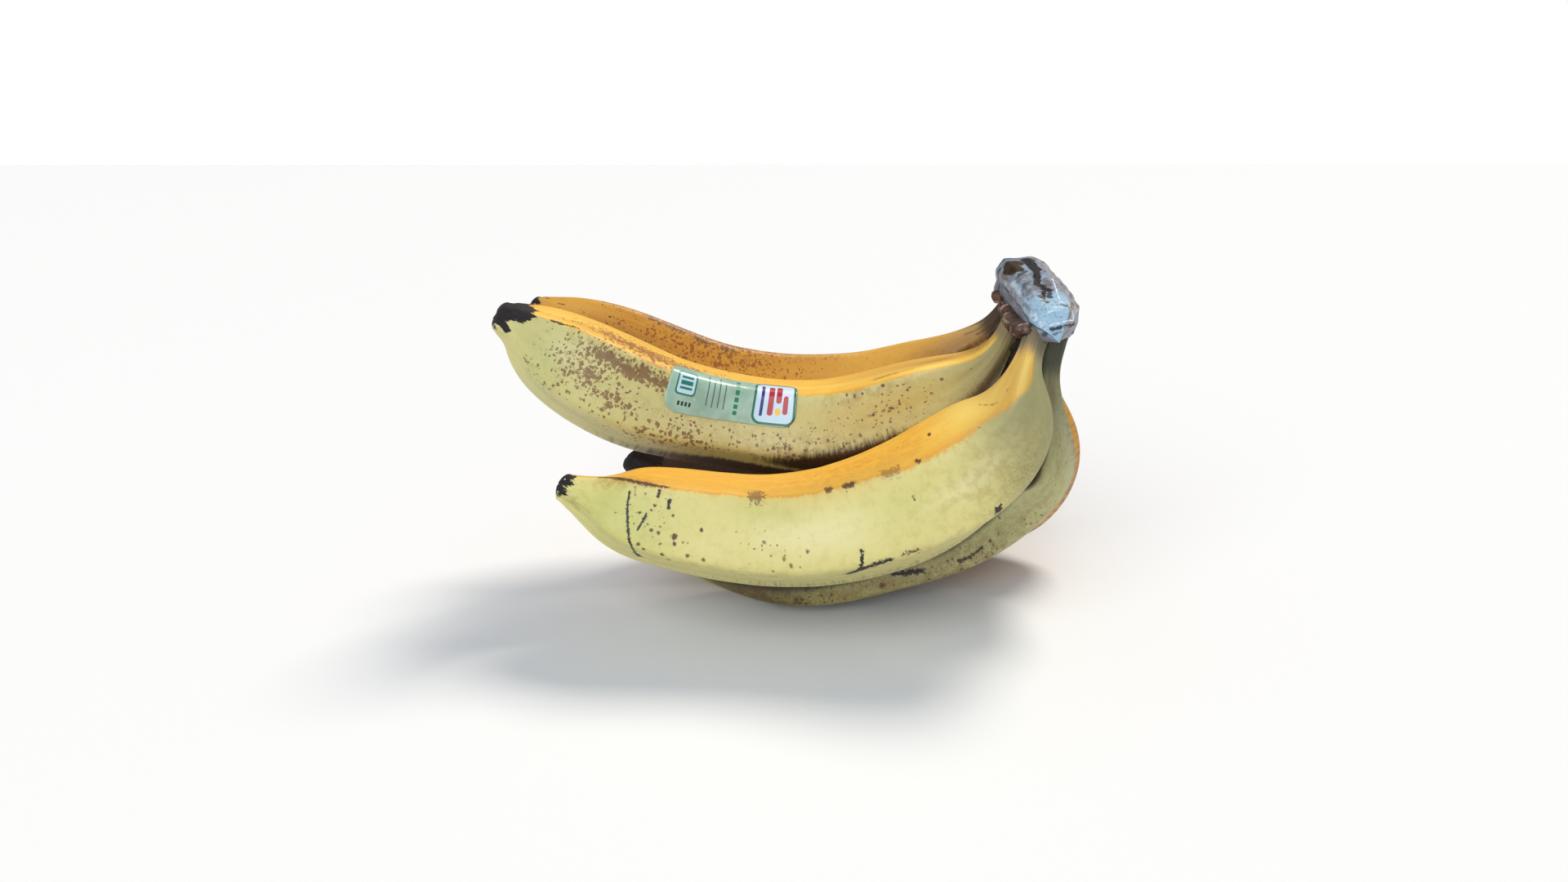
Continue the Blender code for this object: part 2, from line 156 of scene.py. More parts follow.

# How the colours lie on each fruit. A patch is: millimetres along, half length, degrees
# round from the inner side, half width, and strength. Some kinds are painted light: the
# bright yellow patches are painted highlight, the pale ones partly a whitish bloom and partly
# painted highlight, and the shade and underside patches painted shade.
PATCHES = {
    "front": {
        "freckle": [(154, 12, -90, 50, 0.3), (118, 12, -105, 25, 0.32), (60, 50, -50, 8, 0.15)],
        "green": [
            (170, 22, -95, 60, 1), (118, 16, -60, 25, 0.6), (72, 24, -84, 44, 0.45),
            (10, 30, -70, 60, 0.6),
        ],
        "pale": [(105, 24, -88, 24, 0.8), (135, 18, -105, 24, 0.35), (50, 24, -95, 14, 0.6)],
        "tan": [(12, 10, -40, 60, 0.5), (92, 46, -44, 13, 0.95), (160, 20, -44, 6, 0.6)],
        "painted_highlight": [(36, 17, -22, 26, 1), (16, 7, -78, 14, 0.9)],
        "stain": [
            (166, 12, -42, 12, 1), (88, 36, -20, 26, 0.55), (120, 40, -132, 12, 0.35),
            (70, 30, -132, 14, 0.4), (45, 26, -100, 40, 0.45), (183, 9, -110, 30, 0.6),
        ],
        "shade": [(120, 80, -160, 12, 0.3), (40, 16, -130, 20, 0.4), (182, 12, -118, 20, 0.3)],
        "underside_shade": [(90, 80, 180, 22, 0.5)],
    },
    "front_lower": {
        "freckle": [(90, 40, -115, 25, 0.5), (140, 30, -105, 25, 0.45)],
        "green": [(60, 60, -80, 60, 0.4), (158, 36, -104, 46, 1)],
        "pale": [(75, 24, -70, 22, 0.4), (33, 24, -152, 28, 1.2)],
        "tan": [(130, 40, -120, 30, 0.4)],
        "stain": [(85, 35, -112, 30, 0.8), (140, 40, -108, 22, 0.8), (40, 30, -100, 40, 0.4)],
        "shade": [
            (20, 9, -112, 34, 0.5), (40, 20, -40, 40, 0.3), (110, 50, -60, 18, 0.8),
            (105, 60, -106, 34, 0.5), (160, 32, -108, 36, 0.85),
        ],
        "underside_shade": [(100, 90, -158, 24, 0.9), (100, 90, 150, 50, 0.5)],
    },
    "middle": {
        "freckle": [
            (165, 18, -60, 26, 1), (150, 26, -36, 12, 1.5), (132, 24, -92, 30, 0.8),
            (153, 15, -76, 16, 0.95), (172, 10, -90, 18, 0.6), (88, 46, -80, 26, 0.6),
            (55, 20, -54, 26, 0.6), (146, 36, 2, 22, 1.35), (175, 14, -95, 24, 0.5),
        ],
        "green": [(180, 16, -80, 60, 0.8), (40, 20, -60, 40, 0.5)],
        "pale": [(172, 12, -55, 20, 0.5), (110, 40, -75, 30, 0.7), (35, 14, -22, 8, 0.8)],
        "tan": [(50, 30, -55, 30, 0.8), (44, 26, 22, 30, 0.8)],
        "painted_highlight": [
            (34, 14, -20, 14, 0.9), (12, 7, -34, 16, 0.8), (95, 50, 4, 10, 0.5),
            (178, 20, 14, 12, 0.4),
        ],
        "stain": [
            (150, 26, -27, 10, 1), (130, 24, -64, 10, 0.4), (80, 30, -85, 20, 0.6),
            (60, 18, -29, 7, 0.9),
        ],
        "shade": [
            (22, 18, -110, 30, 1), (14, 12, 24, 40, 0.6), (30, 16, 14, 16, 0.5),
            (90, 70, -142, 18, 0.6), (160, 30, -122, 14, 0.35),
        ],
        "underside_shade": [(96, 46, -154, 24, 1.7), (70, 26, -108, 23, 1.9)],
        "notch": [(193.3, 2.6, -66, 13, 1), (196.8, 1.5, -100, 12, 0.8)],
    },
    "rear": {
        "freckle": [(135, 50, -15, 45, 0.8), (140, 46, 5, 14, 1.15)],
        "green": [(40, 30, -30, 60, 0.6)], "pale": [(175, 20, 0, 60, 0.3)],
        "tan": [(192, 14, -20, 60, 0.6), (60, 36, 0, 60, 0.9), (130, 90, 12, 14, 0.6)],
        "stain": [(120, 60, 0, 12, 0.9), (60, 40, -40, 30, 0.4)],
        "shade": [(100, 100, -78, 20, 0.8), (40, 22, -50, 40, 0.5), (172, 34, -42, 26, 0.5)],
        "underside_shade": [(100, 90, -100, 35, 0.9), (45, 30, -75, 25, 0.8)],
    },
    "rear_lower": {
        "freckle": [(120, 60, 90, 60, 0.35)], "green": [(60, 50, 60, 60, 0.5)],
        "pale": [(110, 40, 90, 40, 0.4)], "tan": [(60, 60, -60, 60, 0.6)],
        "stain": [(60, 60, 90, 60, 0.4), (120, 60, 140, 40, 0.5)],
        "shade": [(180, 60, -30, 70, 2)],
        "underside_shade": [(195, 60, -35, 62, 1.8), (120, 90, 180, 50, 0.8)],
    },
}
# Fruit that a fruit nearly touches: its peel gets painted shade, with some dust, where the
# gap is small.
NEIGHBOURS = {
    "front_lower": ["front", "rear_lower"], "rear": ["rear_lower"],
    "rear_lower": ["rear", "front_lower"],
}
JOINT_GAP = (3.4, 6.5)  # the gap in millimetres at which that painted shade is full, and gone
JOINT_SAMPLES = 160
JOINT_REACH = 0.97  # share of a fruit's radius that its peel is taken to reach to there
# How far the edge between orange and green strays from the ridge: millimetres along, degrees.
EDGE_DRIFT = {
    "front": [
        (-3, 0), (8, -12), (14, -22), (17, -24), (20, -12), (22, 3), (27, 13), (37, 15), (53, 5),
        (68, -3), (80, 0),
    ],
}
# How soft that edge is: millimetres along, and a share of a face's width on both sides.
EDGE_SOFT = {
    "front": [(0, 0.25), (45, 0.22), (72, 0.07)], "middle": [(0, 0.16), (50, 0.12), (90, 0.08)],
}
SHARP_EDGE = 0.06  # that softness where nothing else is given

# Marks on the peel: millimetres along and degrees round of the start and of the end, half
# width, raggedness and strength.
DARK_MARKS = {
    "front": [
        (163, -58, 162.7, -72, 0.34, 0.25, 1), (162.7, -72, 162, -88, 0.36, 0.25, 1),
        (162, -88, 160.3, -112, 0.4, 0.3, 1), (160.3, -112, 159, -123, 0.42, 0.3, 1),
        (159, -123, 157.8, -150, 0.45, 0.4, 1), (157.8, -150, 157, -160, 0.9, 0.8, 1),
        (154, -54, 154, -60, 0.5, 0.3, 1), (150.3, -62, 150.3, -70, 0.55, 0.3, 1),
        (156.6, -83, 157.4, -96, 0.5, 0.5, 1), (157.4, -96, 158.2, -103, 0.35, 0.4, 1),
        (90.6, -111, 92, -128, 0.5, 0.5, 1), (95.5, -139, 91, -130, 1.3, 0.7, 1),
        (92, -129, 84, -126, 1, 0.9, 1), (52.7, -134, 51.5, -133, 0.9, 0.8, 1),
    ],
    "front_lower": [
        (112, -96, 102, -100, 0.8, 0.7, 1), (89.5, -102, 84.7, -102, 0.5, 0.7, 0.9),
        (84.7, -102, 81, -99.5, 0.4, 0.5, 0.9),
    ],
    "middle": [(185.7, -20, 182, -21, 0.65, 0.6, 1), (182, -21, 174, -20, 0.25, 0.5, 0.9)],
    "rear": [(196, -20, 194, -20, 0.5, 0.5, 0.8)],
}
BROWN_MARKS = {
    "front": [
        (176, -28, 169, -39, 0.5, 0.4, 0.9), (169, -39, 162, -46, 0.7, 0.5, 1),
        (162, -46, 157, -48, 0.75, 0.5, 1), (157, -48, 151.5, -49, 0.5, 0.4, 1),
        (161.7, -52, 161, -62, 0.3, 0.5, 0.5), (122.8, -47, 122, -47.1, 2.4, 2.4, 0.7),
        (96.6, -49, 95.6, -49.1, 0.9, 0.8, 0.9), (90.2, -50, 87.6, -50.1, 0.9, 0.8, 1),
        (76, -52, 72, -53.1, 1.3, 1.6, 0.5), (64.4, -53, 64, -54.1, 0.8, 0.7, 1),
        (24.9, -43, 28.8, -22, 0.3, 0.8, 0.5), (79.7, -124, 75.8, -125, 0.5, 0.8, 0.9),
    ],
    "front_lower": [
        (156, -100, 155, -100.1, 0.6, 0.5, 0.9), (144, -110, 143, -110.1, 0.6, 0.5, 0.9),
        (117, -105, 116, -105.1, 0.6, 0.5, 0.9),
    ],
    "middle": [
        (184.8, -101, 184, -101, 1, 0.9, 0.7), (53.4, -8, 47.5, -7, 1.3, 1.2, 0.4),
        (47.5, -7, 41.3, -6, 0.4, 0.6, 0.4),
    ],
    "rear": [
        (30, 12, 8, 16, 0.5, 0.5, 0.8), (27, -18, 8, -24, 0.6, 0.5, 0.8),
        (22, -42, 8, -48, 0.6, 0.5, 0.8), (165, 0, 160, -2, 0.6, 1, 0.8),
        (156, -2, 150, -3, 0.6, 1, 0.8), (145, -3, 138, -4, 0.6, 1, 0.8),
        (133, -4, 126, -5, 0.6, 1, 0.8),
    ],
}
# Short brown dots: millimetres along, degrees round, half width, raggedness and strength.
BROWN_DOTS = {
    "front": [
        (154.4, -70, 0.5, 0.2, 1), (155.3, -76, 0.4, 0.2, 1), (158.7, -82, 0.55, 0.3, 1),
        (148.4, -78, 0.5, 0.2, 1), (154, -100, 0.6, 0.3, 1), (151.8, -101, 0.6, 0.3, 1),
        (147, -102, 0.9, 0.5, 1), (146.4, -109, 0.55, 0.3, 1), (157, -118, 0.55, 0.3, 1),
        (155.2, -122, 0.6, 0.3, 1), (149.6, -123, 0.6, 0.3, 1), (147.5, -131, 0.6, 0.3, 1),
        (139, -89, 0.6, 0.3, 1), (142, -118, 0.55, 0.3, 0.9), (137, -119, 0.5, 0.3, 0.9),
        (55.2, -20, 0.8, 0.5, 1), (119, -95, 0.6, 0.4, 0.8), (106, -104, 0.55, 0.3, 0.9),
        (113, -110, 0.6, 0.3, 0.8), (111, -116, 0.5, 0.3, 0.8),
    ],
    "front_lower": [(90, -112, 0.6, 0.4, 1), (77.7, -99, 0.6, 0.4, 1)],
    "middle": [
        (65, -26, 0.55, 0.3, 1), (62, -29, 0.55, 0.3, 1), (59, -29, 0.5, 0.3, 1),
        (51.7, -27, 0.6, 0.3, 1), (45, -41, 0.5, 0.3, 1), (32.7, -42, 0.7, 0.4, 0.9),
        (58, -57, 0.6, 0.3, 1), (52, -57, 0.6, 0.3, 1),
    ],
}
DOT_TURN = 0.1  # degrees from a dot's start to its end
MARK_FADE = 0.3  # share of its half width over which a mark on the peel fades

# The dark band of painted shadow where the lower front fruit goes under the upper one:
# millimetres along, degrees.
JOINT_SHADOW_LINE = [
    (6, -61), (14, -69), (23, -88), (31, -84), (41, -62), (57, -59), (70, -66), (92, -79),
    (120, -85), (145, -87), (168, -96),
]
JOINT_HALF_WIDTH = 2.9

# How orange each of a fruit's five faces is, from the inner one on towards +Y, then round.
# The inner faces lie on top, and their orange is partly the ripe peel's colour and partly
# painted warm light from above.
FACE_WARMTH = {
    "front": (1.0, 0.8, 0.35, 0.0, 0.0),
    "front_lower": (0.1, 0.4, 0.5, 0.1, 0.0),
    "middle": (1.0, 0.9, 0.5, 0.15, 0.0),
    "rear": (0.9, 0.8, 0.6, 0.6, 0.75),
    "rear_lower": (1.0, 1.0, 1.0, 1.0, 0.9),
}

# Each fruit's colours. side scales the side peel's colour; the rear fruit's browner side is
# partly painted shade. top, ripe_tan, green, freckle and neck are the colours of ripe peel,
# tanned ripe peel, the green near the neck, freckles and the dry neck. top is shown on the
# upper faces, where its orange is partly painted warm light from above, and the lower front
# fruit's darker neck is partly painted shade. olive and dry are the millimetres along over
# which that green and dryness fade, and cover is how far ripe peel hides the green. black is
# the degrees round at which the tip's black reaches furthest, and the millimetres that it
# reaches there and opposite.
LOOKS = {
    "front": {
        "side": (0.94, 0.9, 0.84), "top": (0.81, 0.46, 0.048), "ripe_tan": (0.62, 0.36, 0.045),
        "green": (0.27, 0.26, 0.13), "freckle": (0.42, 0.24, 0.24), "neck": (0.17, 0.14, 0.085),
        "olive": (20, 62), "dry": (4, 19), "black": (-20, 2.8, 0.6),
    },
    "front_lower": {
        "side": (0.72, 0.74, 0.84), "top": (0.7, 0.46, 0.09), "ripe_tan": (0.5, 0.33, 0.08),
        "green": (0.21, 0.2, 0.088), "freckle": (0.42, 0.28, 0.26), "neck": (0.06, 0.064, 0.04),
        "olive": (16, 62), "dry": (6, 26), "black": (-40, 8, 6),
    },
    "middle": {
        "side": (0.8, 0.78, 0.76), "top": (0.85, 0.52, 0.05), "ripe_tan": (0.52, 0.28, 0.05),
        "green": (0.25, 0.2, 0.07), "freckle": (0.36, 0.2, 0.2), "neck": (0.22, 0.17, 0.09),
        "olive": (8, 40), "dry": (3, 12), "black": (-10, 8.5, -1),
    },
    "rear": {
        "side": (0.6, 0.46, 0.26), "top": (0.56, 0.29, 0.022), "ripe_tan": (0.68, 0.39, 0.045),
        "green": (0.34, 0.27, 0.14), "freckle": (0.5, 0.31, 0.26), "neck": (0.07, 0.045, 0.03),
        "olive": (16, 46), "cover": 0.15, "dry": (11, 30), "black": (-40, 2.5, 0.5),
    },
    "rear_lower": {
        "side": (0.8, 0.7, 0.6), "top": (0.66, 0.35, 0.05), "ripe_tan": (0.7, 0.38, 0.06),
        "green": (0.28, 0.2, 0.06), "freckle": (0.4, 0.24, 0.22), "neck": (0.12, 0.1, 0.05),
        "olive": (16, 50), "dry": (6, 26), "black": (-40, 12, 8),
    },
}
GREEN_COVER = 0.55  # cover where a fruit gives none

# The sticker on the middle fruit.
LABEL_MIDDLE = -27
LABEL_LENGTH = 49
LABEL_WIDTH = 17.4
LABEL_CORNER = 5
PRINT_SOFT = 0.12  # millimetres over which a printed edge fades
LABEL_AROUND = math.radians(-30.5)
LABEL_TILT = 0.03  # how far it turns round the fruit for each millimetre along
LABEL_LIFT = 0.32
LABEL_COLUMNS = 98
LABEL_ROWS = 41
LABEL_BEHIND = 0.52  # share of the fruit's length at which its centre is behind the label

# The wrap's section from the left hem over the ridge to the right hem: x and z as shares of
# the half sizes, and where each corner comes along the arc.
WRAP_CORNERS = [
    (-0.97, 0.0, 0.0),
    (-0.99, 0.45, 0.20),
    (-0.72, 0.92, 0.38),
    (0.32, 1.02, 0.62),
    (0.78, 0.80, 0.76),
    (0.90, 0.10, 0.88),
    (0.84, -0.5, 1.0),
]
# Height of the left hem at the front end, in the middle and at the rear end.
WRAP_HEM = (98.6, 99.9, 103.6)
WRAP_ROUNDING = 5  # steps over which a corner is smoothed
WRAP_LEAN = 2.2  # how far the section leans to the right at the front end
WRAP_ROOM = 0.9
WRAP_INSET = 0.25  # how far the wrap is drawn in under its wrinkles
WRAP_RINGS = 150
WRAP_STEPS = 110
WRAP_END_SHARE = 0.08
WRAP_CLOSING = 2.5  # how late the hood closes towards its ends
WRAP_LENGTH = 76
WRAP_GIRTH = 42
# Shares of the wrap's length over which its front end's shape fades, and its rear end's begins.
WRAP_FRONT, WRAP_REAR = (0.0, 0.45), (0.55, 0.95)
LEAN_LEVEL = 0.6  # height on the section, as a share, about which it leans
# Heights of the wrap's pleats, creases and fine wrinkles, and of its hem's ridge and groove.
PLEATS, CREASES, WRINKLES, HEM_HEIGHT = 0.35, 0.3, 0.15, 0.5
# Cell and seed of the noise for the pleats, creases and wrinkles.
PLEAT_NOISE, CREASE_NOISE, WRINKLE_NOISE = (4.5, 31), (6, 37), (2.6, 43)
# Where on the arc that ridge, that groove and the groove's shadow are, and how wide.
RIDGE_ACROSS, GROOVE_ACROSS, SHADOW_ACROSS = (0.05, 0.035), (0.115, 0.02), (0.125, 0.018)
HEM_END = (0.08, 0.12)  # shares of the arc over which the hem's dark colour, partly painted shade, fades
FAR_SIDE = (0.60, 0.64)  # shares of the arc over which the far side's colour begins
# Shares of the length and of the arc over which the icy front end, a painted reflection,
# fades, and the middle and size of an icy spot of painted reflection on both.
ICY_ALONG, ICY_ACROSS = (0.16, 0.36), (0.64, 0.70)
ICY_SPOT_ALONG, ICY_SPOT_ACROSS, ICY_SPOT_STRENGTH = (0.50, 0.15), (0.24, 0.08), 0.9
# Marks on the wrap: the places of the start and of the end in millimetres, half width,
# raggedness and strength.
WRAP_OLIVE = [
    ((71.4, 18.3, 115.9), (73.9, 17.9, 116.3), 2.9, 0.35, 1),
    ((70.8, 16.6, 114.7), (72.8, 11.5, 115.2), 2.8, 0.35, 1),
]
# Dark lines: mostly painted shade in the creases and under the hem.
WRAP_SHADE_LINES = [
    ((78.1, 22.2, 117.3), (78.7, 16.6, 116.5), 1.94, 0.5, 1),
    ((78.7, 16.6, 116.5), (79, 9.4, 115.5), 2.05, 0.6, 1),
    ((79, 9.4, 115.5), (76.3, -5.6, 113.1), 1.36, 0.6, 1),
    ((76.3, -5.6, 113.1), (78.1, -13.7, 111.9), 1.25, 0.7, 1),
    ((76.8, -13.5, 111.8), (75.2, -19, 110.7), 0.85, 0.7, 1),
    ((69.9, 25.2, 115.3), (78, 23.9, 117.4), 1.25, 0.6, 0.7),
    ((68.9, 22.2, 113.4), (68.7, 20.5, 107.1), 1.14, 0.5, 0.6),
    ((69.1, 17.1, 104.1), (70, -3.9, 102.2), 1.02, 0.4, 0.9),
    ((70, -3.9, 102.2), (69.6, -20.6, 101.7), 0.79, 0.4, 0.8),
    ((69.6, -20.6, 101.7), (74, -31, 100.9), 0.6, 0.4, 0.8),
    ((78.1, -13.7, 111.9), (77.1, -19.7, 110.9), 1.02, 0.6, 0.9),
    ((79.7, -25.7, 109.8), (81.7, -27.9, 108.8), 0.67, 0.6, 0.7),
    ((75.5, -31.3, 102.6), (78.8, -31.3, 103.5), 0.62, 0.5, 0.9),
    ((78.8, -31.3, 103.5), (82.8, -29.8, 104.1), 0.62, 0.5, 0.9),
    ((76.1, -31.9, 101.2), (78.2, -31.9, 102.1), 0.44, 0.5, 0.6),
    ((71, -6, 110.5), (74, -4.3, 113), 0.67, 0.6, 0.5),
    ((70, -14.1, 107.5), (70.7, -23.6, 107), 0.67, 0.6, 0.45),
    ((71.9, 4.2, 113.9), (75.2, 8.5, 115.1), 1.02, 0.6, 0.7),
]
WRAP_BROWN = [
    ((74.5, -17.6, 110.9), (75.3, -21, 110.5), 0.9, 0.8, 1),
    ((74.6, -22.3, 110.2), (75.4, -23.6, 110), 0.6, 0.6, 1),
    ((69, 17.1, 111.7), (70.7, 8.5, 112.6), 1.2, 1.2, 0.4),
    ((71.6, -11.1, 110.3), (74.5, -9.4, 112.2), 1.2, 1, 0.45),
    ((79.7, -0.5, 114.2), (79.5, -10.3, 112.5), 0.8, 0.8, 0.5),
]
# White lines: painted highlights along the creases.
WRAP_HIGHLIGHTS = [
    ((81.9, -2.6, 113.9), (79.4, -23.6, 110.3), 0.2, 0.2, 1),
    ((79.4, -23.6, 110.3), (82.2, -28.3, 108.2), 0.15, 0.3, 0.6),
    ((82.2, -28.3, 108.2), (82.5, -29.8, 105.8), 0.22, 0.2, 1),
    ((75.1, -30.8, 103.8), (78.7, -30.8, 104.7), 0.22, 0.4, 0.9),
    ((78.7, -30.8, 104.7), (83, -29.8, 105.4), 0.22, 0.4, 0.9),
    ((70.2, 5.5, 111.4), (70.3, -7.7, 109.1), 0.88, 1.4, 0.45),
    ((70.2, -23.1, 106.5), (72.8, -29.8, 104), 0.8, 1.4, 0.4),
    ((74.1, -28.8, 107.2), (78.1, -28.3, 108.3), 0.25, 0.5, 0.6),
]

# The staged floor, camera and suns: places and sizes in metres, angles in degrees.
FLOOR_REACH = 3.0
CAMERA_PLACE = (-0.007, -0.355, 0.168)
CAMERA_TILT = 72.6
CAMERA_LENS = 24.45
WORLD_COLOUR = (0.90, 0.95, 1.0, 1)
KEY_PLACE, KEY_SPREAD, KEY_COLOUR = (0.35, 0.45, 0.85), 22, (1.0, 0.91, 0.77)
FILL_PLACE, FILL_SPREAD, FILL_COLOUR = (-0.35, -0.75, 0.55), 50, (0.96, 0.98, 1.0)


def size_value(name, description, default):
    """A length that a user may change."""
    return FloatProperty(name=name, description=description, default=default, unit="LENGTH")


def count_value(name, description, default, low, high):
    """A whole number that a user may change."""
    return IntProperty(name=name, description=description, default=default, min=low, max=high)


def colour_value(name, description, default):
    """A colour that a user may change."""
    return FloatVectorProperty(
        name=name, description=description, default=default, subtype="COLOR"
    )


def strength_value(name, description, default):
    """The strength of a light, which a user may change."""
    return FloatProperty(name=name, description=description, default=default)


class BananaSettings(PropertyGroup):
    rings: count_value("Rings", "Rings of points along each fruit", 230, 60, 400)
    sides: count_value("Sides", "Points round each ring", 100, 40, 200)
    lumps: size_value("Lumps", "Height of the slow lumps on the peel", 0.00035)
    side: colour_value(
        "Side peel", "Colour of the faces that are still greenish", (0.70, 0.66, 0.27)
    )
    tip: colour_value("Tip", "Colour of the dry tips", (0.008, 0.005, 0.007))


class CrownSettings(PropertyGroup):
    voxel: size_value("Grain", "Size of the tissue's facets", 0.0007)
    tissue: colour_value("Tissue", "Colour of the dried tissue", (0.12, 0.06, 0.04))


class WrapSettings(PropertyGroup):
    thickness: size_value("Thickness", "Thickness of the wrap's layers", 0.0005)
    # The film's bluish colours are mostly painted sky reflection.
    cloudy: colour_value("Cloudy film", "Colour of the cloudy film", (0.26, 0.33, 0.44))
    icy: colour_value("Bright film", "Colour of the bright film", (0.32, 0.49, 0.63))


class LabelSettings(PropertyGroup):
    thickness: size_value("Thickness", "Thickness of the paper", 0.00015)
    paper: colour_value("Paper", "Colour of the strip", (0.35, 0.54, 0.44))
    border: colour_value("Border", "Colour of the panel's border", (0.004, 0.13, 0.07))


class StageSettings(PropertyGroup):
    key: strength_value("Key light", "Strength of the warm light", 2.4)
    fill: strength_value("Fill light", "Strength of the cool light", 2.0)
    ambient: strength_value("Ambient light", "Strength of the light from all round", 0.35)
    floor: colour_value("Floor", "Colour of the floor", (0.76, 0.78, 0.82))


def lattice_noise(points, cell, seed):
    """Smooth noise from -1 to 1: random values on a cubic lattice, blended between corners."""
    scaled = np.asarray(points, float) / cell
    base = np.floor(scaled).astype(np.int64)
    part = scaled - base
    part = part * part * (3 - 2 * part)
    total = np.zeros(scaled.shape[:-1])
    for corner in np.ndindex(2, 2, 2):
        key = ((base + corner) * (73856093, 19349663, 83492791)).sum(-1) + seed * 26544357
        key = (key ^ (key >> 13)) * 1274126177
        value = ((key ^ (key >> 16)) & 0xFFFF) / 32767.5 - 1
        total += np.where(corner, part, 1 - part).prod(-1) * value
    return total


def cloud_noise(points, cell, seed, octaves=3):
    """Noise of several sizes: each layer has half the cell and half the height of the last."""
    layers = [lattice_noise(points, cell / 2**i, seed + i) / 2**i for i in range(octaves)]
    return sum(layers) / 1.5


def ramp(low, high, value):
    """0 below low, 1 above high, and a smooth step between."""
    share = np.clip((value - low) / (high - low), 0, 1)
    return share * share * (3 - 2 * share)


def bell(value, middle, width):
    """1 at the middle, and less on both sides of it as a bell curve."""
    return np.exp(-(((value - middle) / width) ** 2))


def natural_spline(knots, values, where):
    """A cubic through the values at the knots, with continuous bend and straight ends."""
    gap = np.diff(knots)
    count = len(knots)
    system = np.eye(count)
    right = np.zeros_like(values)
    slope = np.diff(values, axis=0) / gap[:, None]
    for i in range(1, count - 1):
        system[i, i - 1 : i + 2] = gap[i - 1], 2 * (gap[i - 1] + gap[i]), gap[i]
        right[i] = 6 * (slope[i] - slope[i - 1])
    bend = np.linalg.solve(system, right)
    cell = np.clip(np.searchsorted(knots, where) - 1, 0, count - 2)
    width = gap[cell, None]
    after = (where[:, None] - knots[cell, None]) / width
    before = 1 - after
    curve = before * values[cell] + after * values[cell + 1]
    sag = (before**3 - before) * bend[cell] + (after**3 - after) * bend[cell + 1]
    return curve + sag * width**2 / 6


def fine_path(points):
    """Closely spaced rows of a smooth path through the points, and their distance along it."""
    rows = np.array(points, float)
    steps = np.linalg.norm(np.diff(rows[:, :3], axis=0), axis=1)
    knots = np.concatenate(([0], np.cumsum(np.sqrt(steps))))
    fine = natural_spline(knots, rows, np.linspace(0, knots[-1], PATH_SAMPLES))
    run = np.concatenate(([0], np.cumsum(np.linalg.norm(np.diff(fine[:, :3], axis=0), axis=1))))
    return fine, run


def along_path(points, stations):
    """Rows of a smooth path at the given shares of its length."""
    fine, run = fine_path(points)
    wanted = np.asarray(stations) * run[-1]
    return np.stack([np.interp(wanted, run, column) for column in fine.T], axis=1)


def skin(points, stations):
    """Centres, directions towards the inner side and across, radii and turns at the stations."""
    rows = along_path(points, stations)
    ahead = along_path(points, np.clip(stations + TANGENT_STEP, 0, 1))
    behind = along_path(points, np.clip(stations - TANGENT_STEP, 0, 1))
    along = ahead[:, :3] - behind[:, :3]
    along /= np.linalg.norm(along, axis=1, keepdims=True)
    start, middle, end = along_path(points, np.array([0, 0.5, 1]))[:, :3]
    plane = np.cross(start - middle, end - middle)
    inward = np.cross(plane, along)
    inward /= np.linalg.norm(inward, axis=1, keepdims=True)
    if np.dot(inward[len(inward) // 2], (start + end) / 2 - middle) < 0:
        inward = -inward
    across = np.cross(along, inward)
    return rows[:, :3], inward, across, rows[:, 3], np.radians(rows[:, 4])


def measured(name, stations):
    """Millimetres along a fruit at the stations, and at its tip end, as its marks are given."""
    length = fine_path(BANANAS[name])[1][-1]
    end = MEASURED_TO.get(name, length)
    return np.asarray(stations) * length + end - length, end


def five_sided(around, power):
    """Distance to a rounded pentagon with a flat face at 0, for a radius of 1.

    It is the flat distance over the power mean of the cosines to the five face directions.
    """
    faces = np.arange(FACES) * math.tau / FACES
    facing = np.clip(np.cos(around[..., None] - faces), 0, None)
    return FLAT_SCALE * (facing ** power[..., None]).sum(-1) ** (-1 / power)


def peel_points(name, stations, around, lift=0.0, lumps=0.35):
    """Points on a fruit's peel, and the same points on a straightened fruit.

    The distance from the centreline is the radius times the five-sided section, plus slow
    lumps, pleats that run along the neck, and a rough dry tip. The angles are from the
    turned flat face on the inner side.
    """
    points = BANANAS[name]
    seed = sorted(BANANAS).index(name) * 40
    centre, inward, across, radius, turn = skin(points, stations)
    run, length = measured(name, stations)
    run = run[:, None]
    angle = around + turn[:, None]
    straight = np.stack(
        [SIDE_SPAN * np.cos(angle), SIDE_SPAN * np.sin(angle), run + 0 * angle], axis=-1
    )
    neck = 1 - ramp(*NECK_FADE, run)
    tip = ramp(length - TIP_FADE, length, run)
    power = RIDGE_SHARP + (RIDGE_SOFT - RIDGE_SHARP) * np.maximum(neck, tip) + 0 * angle
    reach = radius[:, None] * five_sided(angle - turn[:, None], power)
    slow = cloud_noise(straight, LUMP_CELL, seed) * lumps
    hollow = -HOLLOW * np.cos(around * FACES) * (1 - neck) * (1 - tip) * lumps
    pleat = lattice_noise(straight * (0.55, 0.55, 0.05), PLEAT_CELL, seed + 9)
    pleat = pleat * PLEAT_HEIGHT * neck
    at_end = ramp(length - ROUGH_TIP[0], length - ROUGH_TIP[1], run)
    rough = lattice_noise(straight, ROUGH_CELL, seed + 17) * ROUGH_HEIGHT * at_end
    reach = reach + slow + hollow + pleat + rough + lift
    out = np.cos(angle)[..., None] * inward[:, None] + np.sin(angle)[..., None] * across[:, None]
    return centre[:, None] + reach[..., None] * out, straight


def crowded(count):
    """Shares from 0 to 1 that are closer together at both ends."""
    even = np.linspace(0, 1, count)
    return (1 - RING_CROWDING) * even + RING_CROWDING * (1 - np.cos(math.pi * even)) / 2


def quad_corners(rows, columns):
    """The row and the column of each corner of the quads that start at each grid point."""
    row, column = (part.ravel() for part in np.mgrid[0 : rows - 1, 0:columns])
    corner_rows = np.stack([row, row, row + 1, row + 1], -1)
    return corner_rows, np.stack([column, column + 1, column + 1, column], -1)


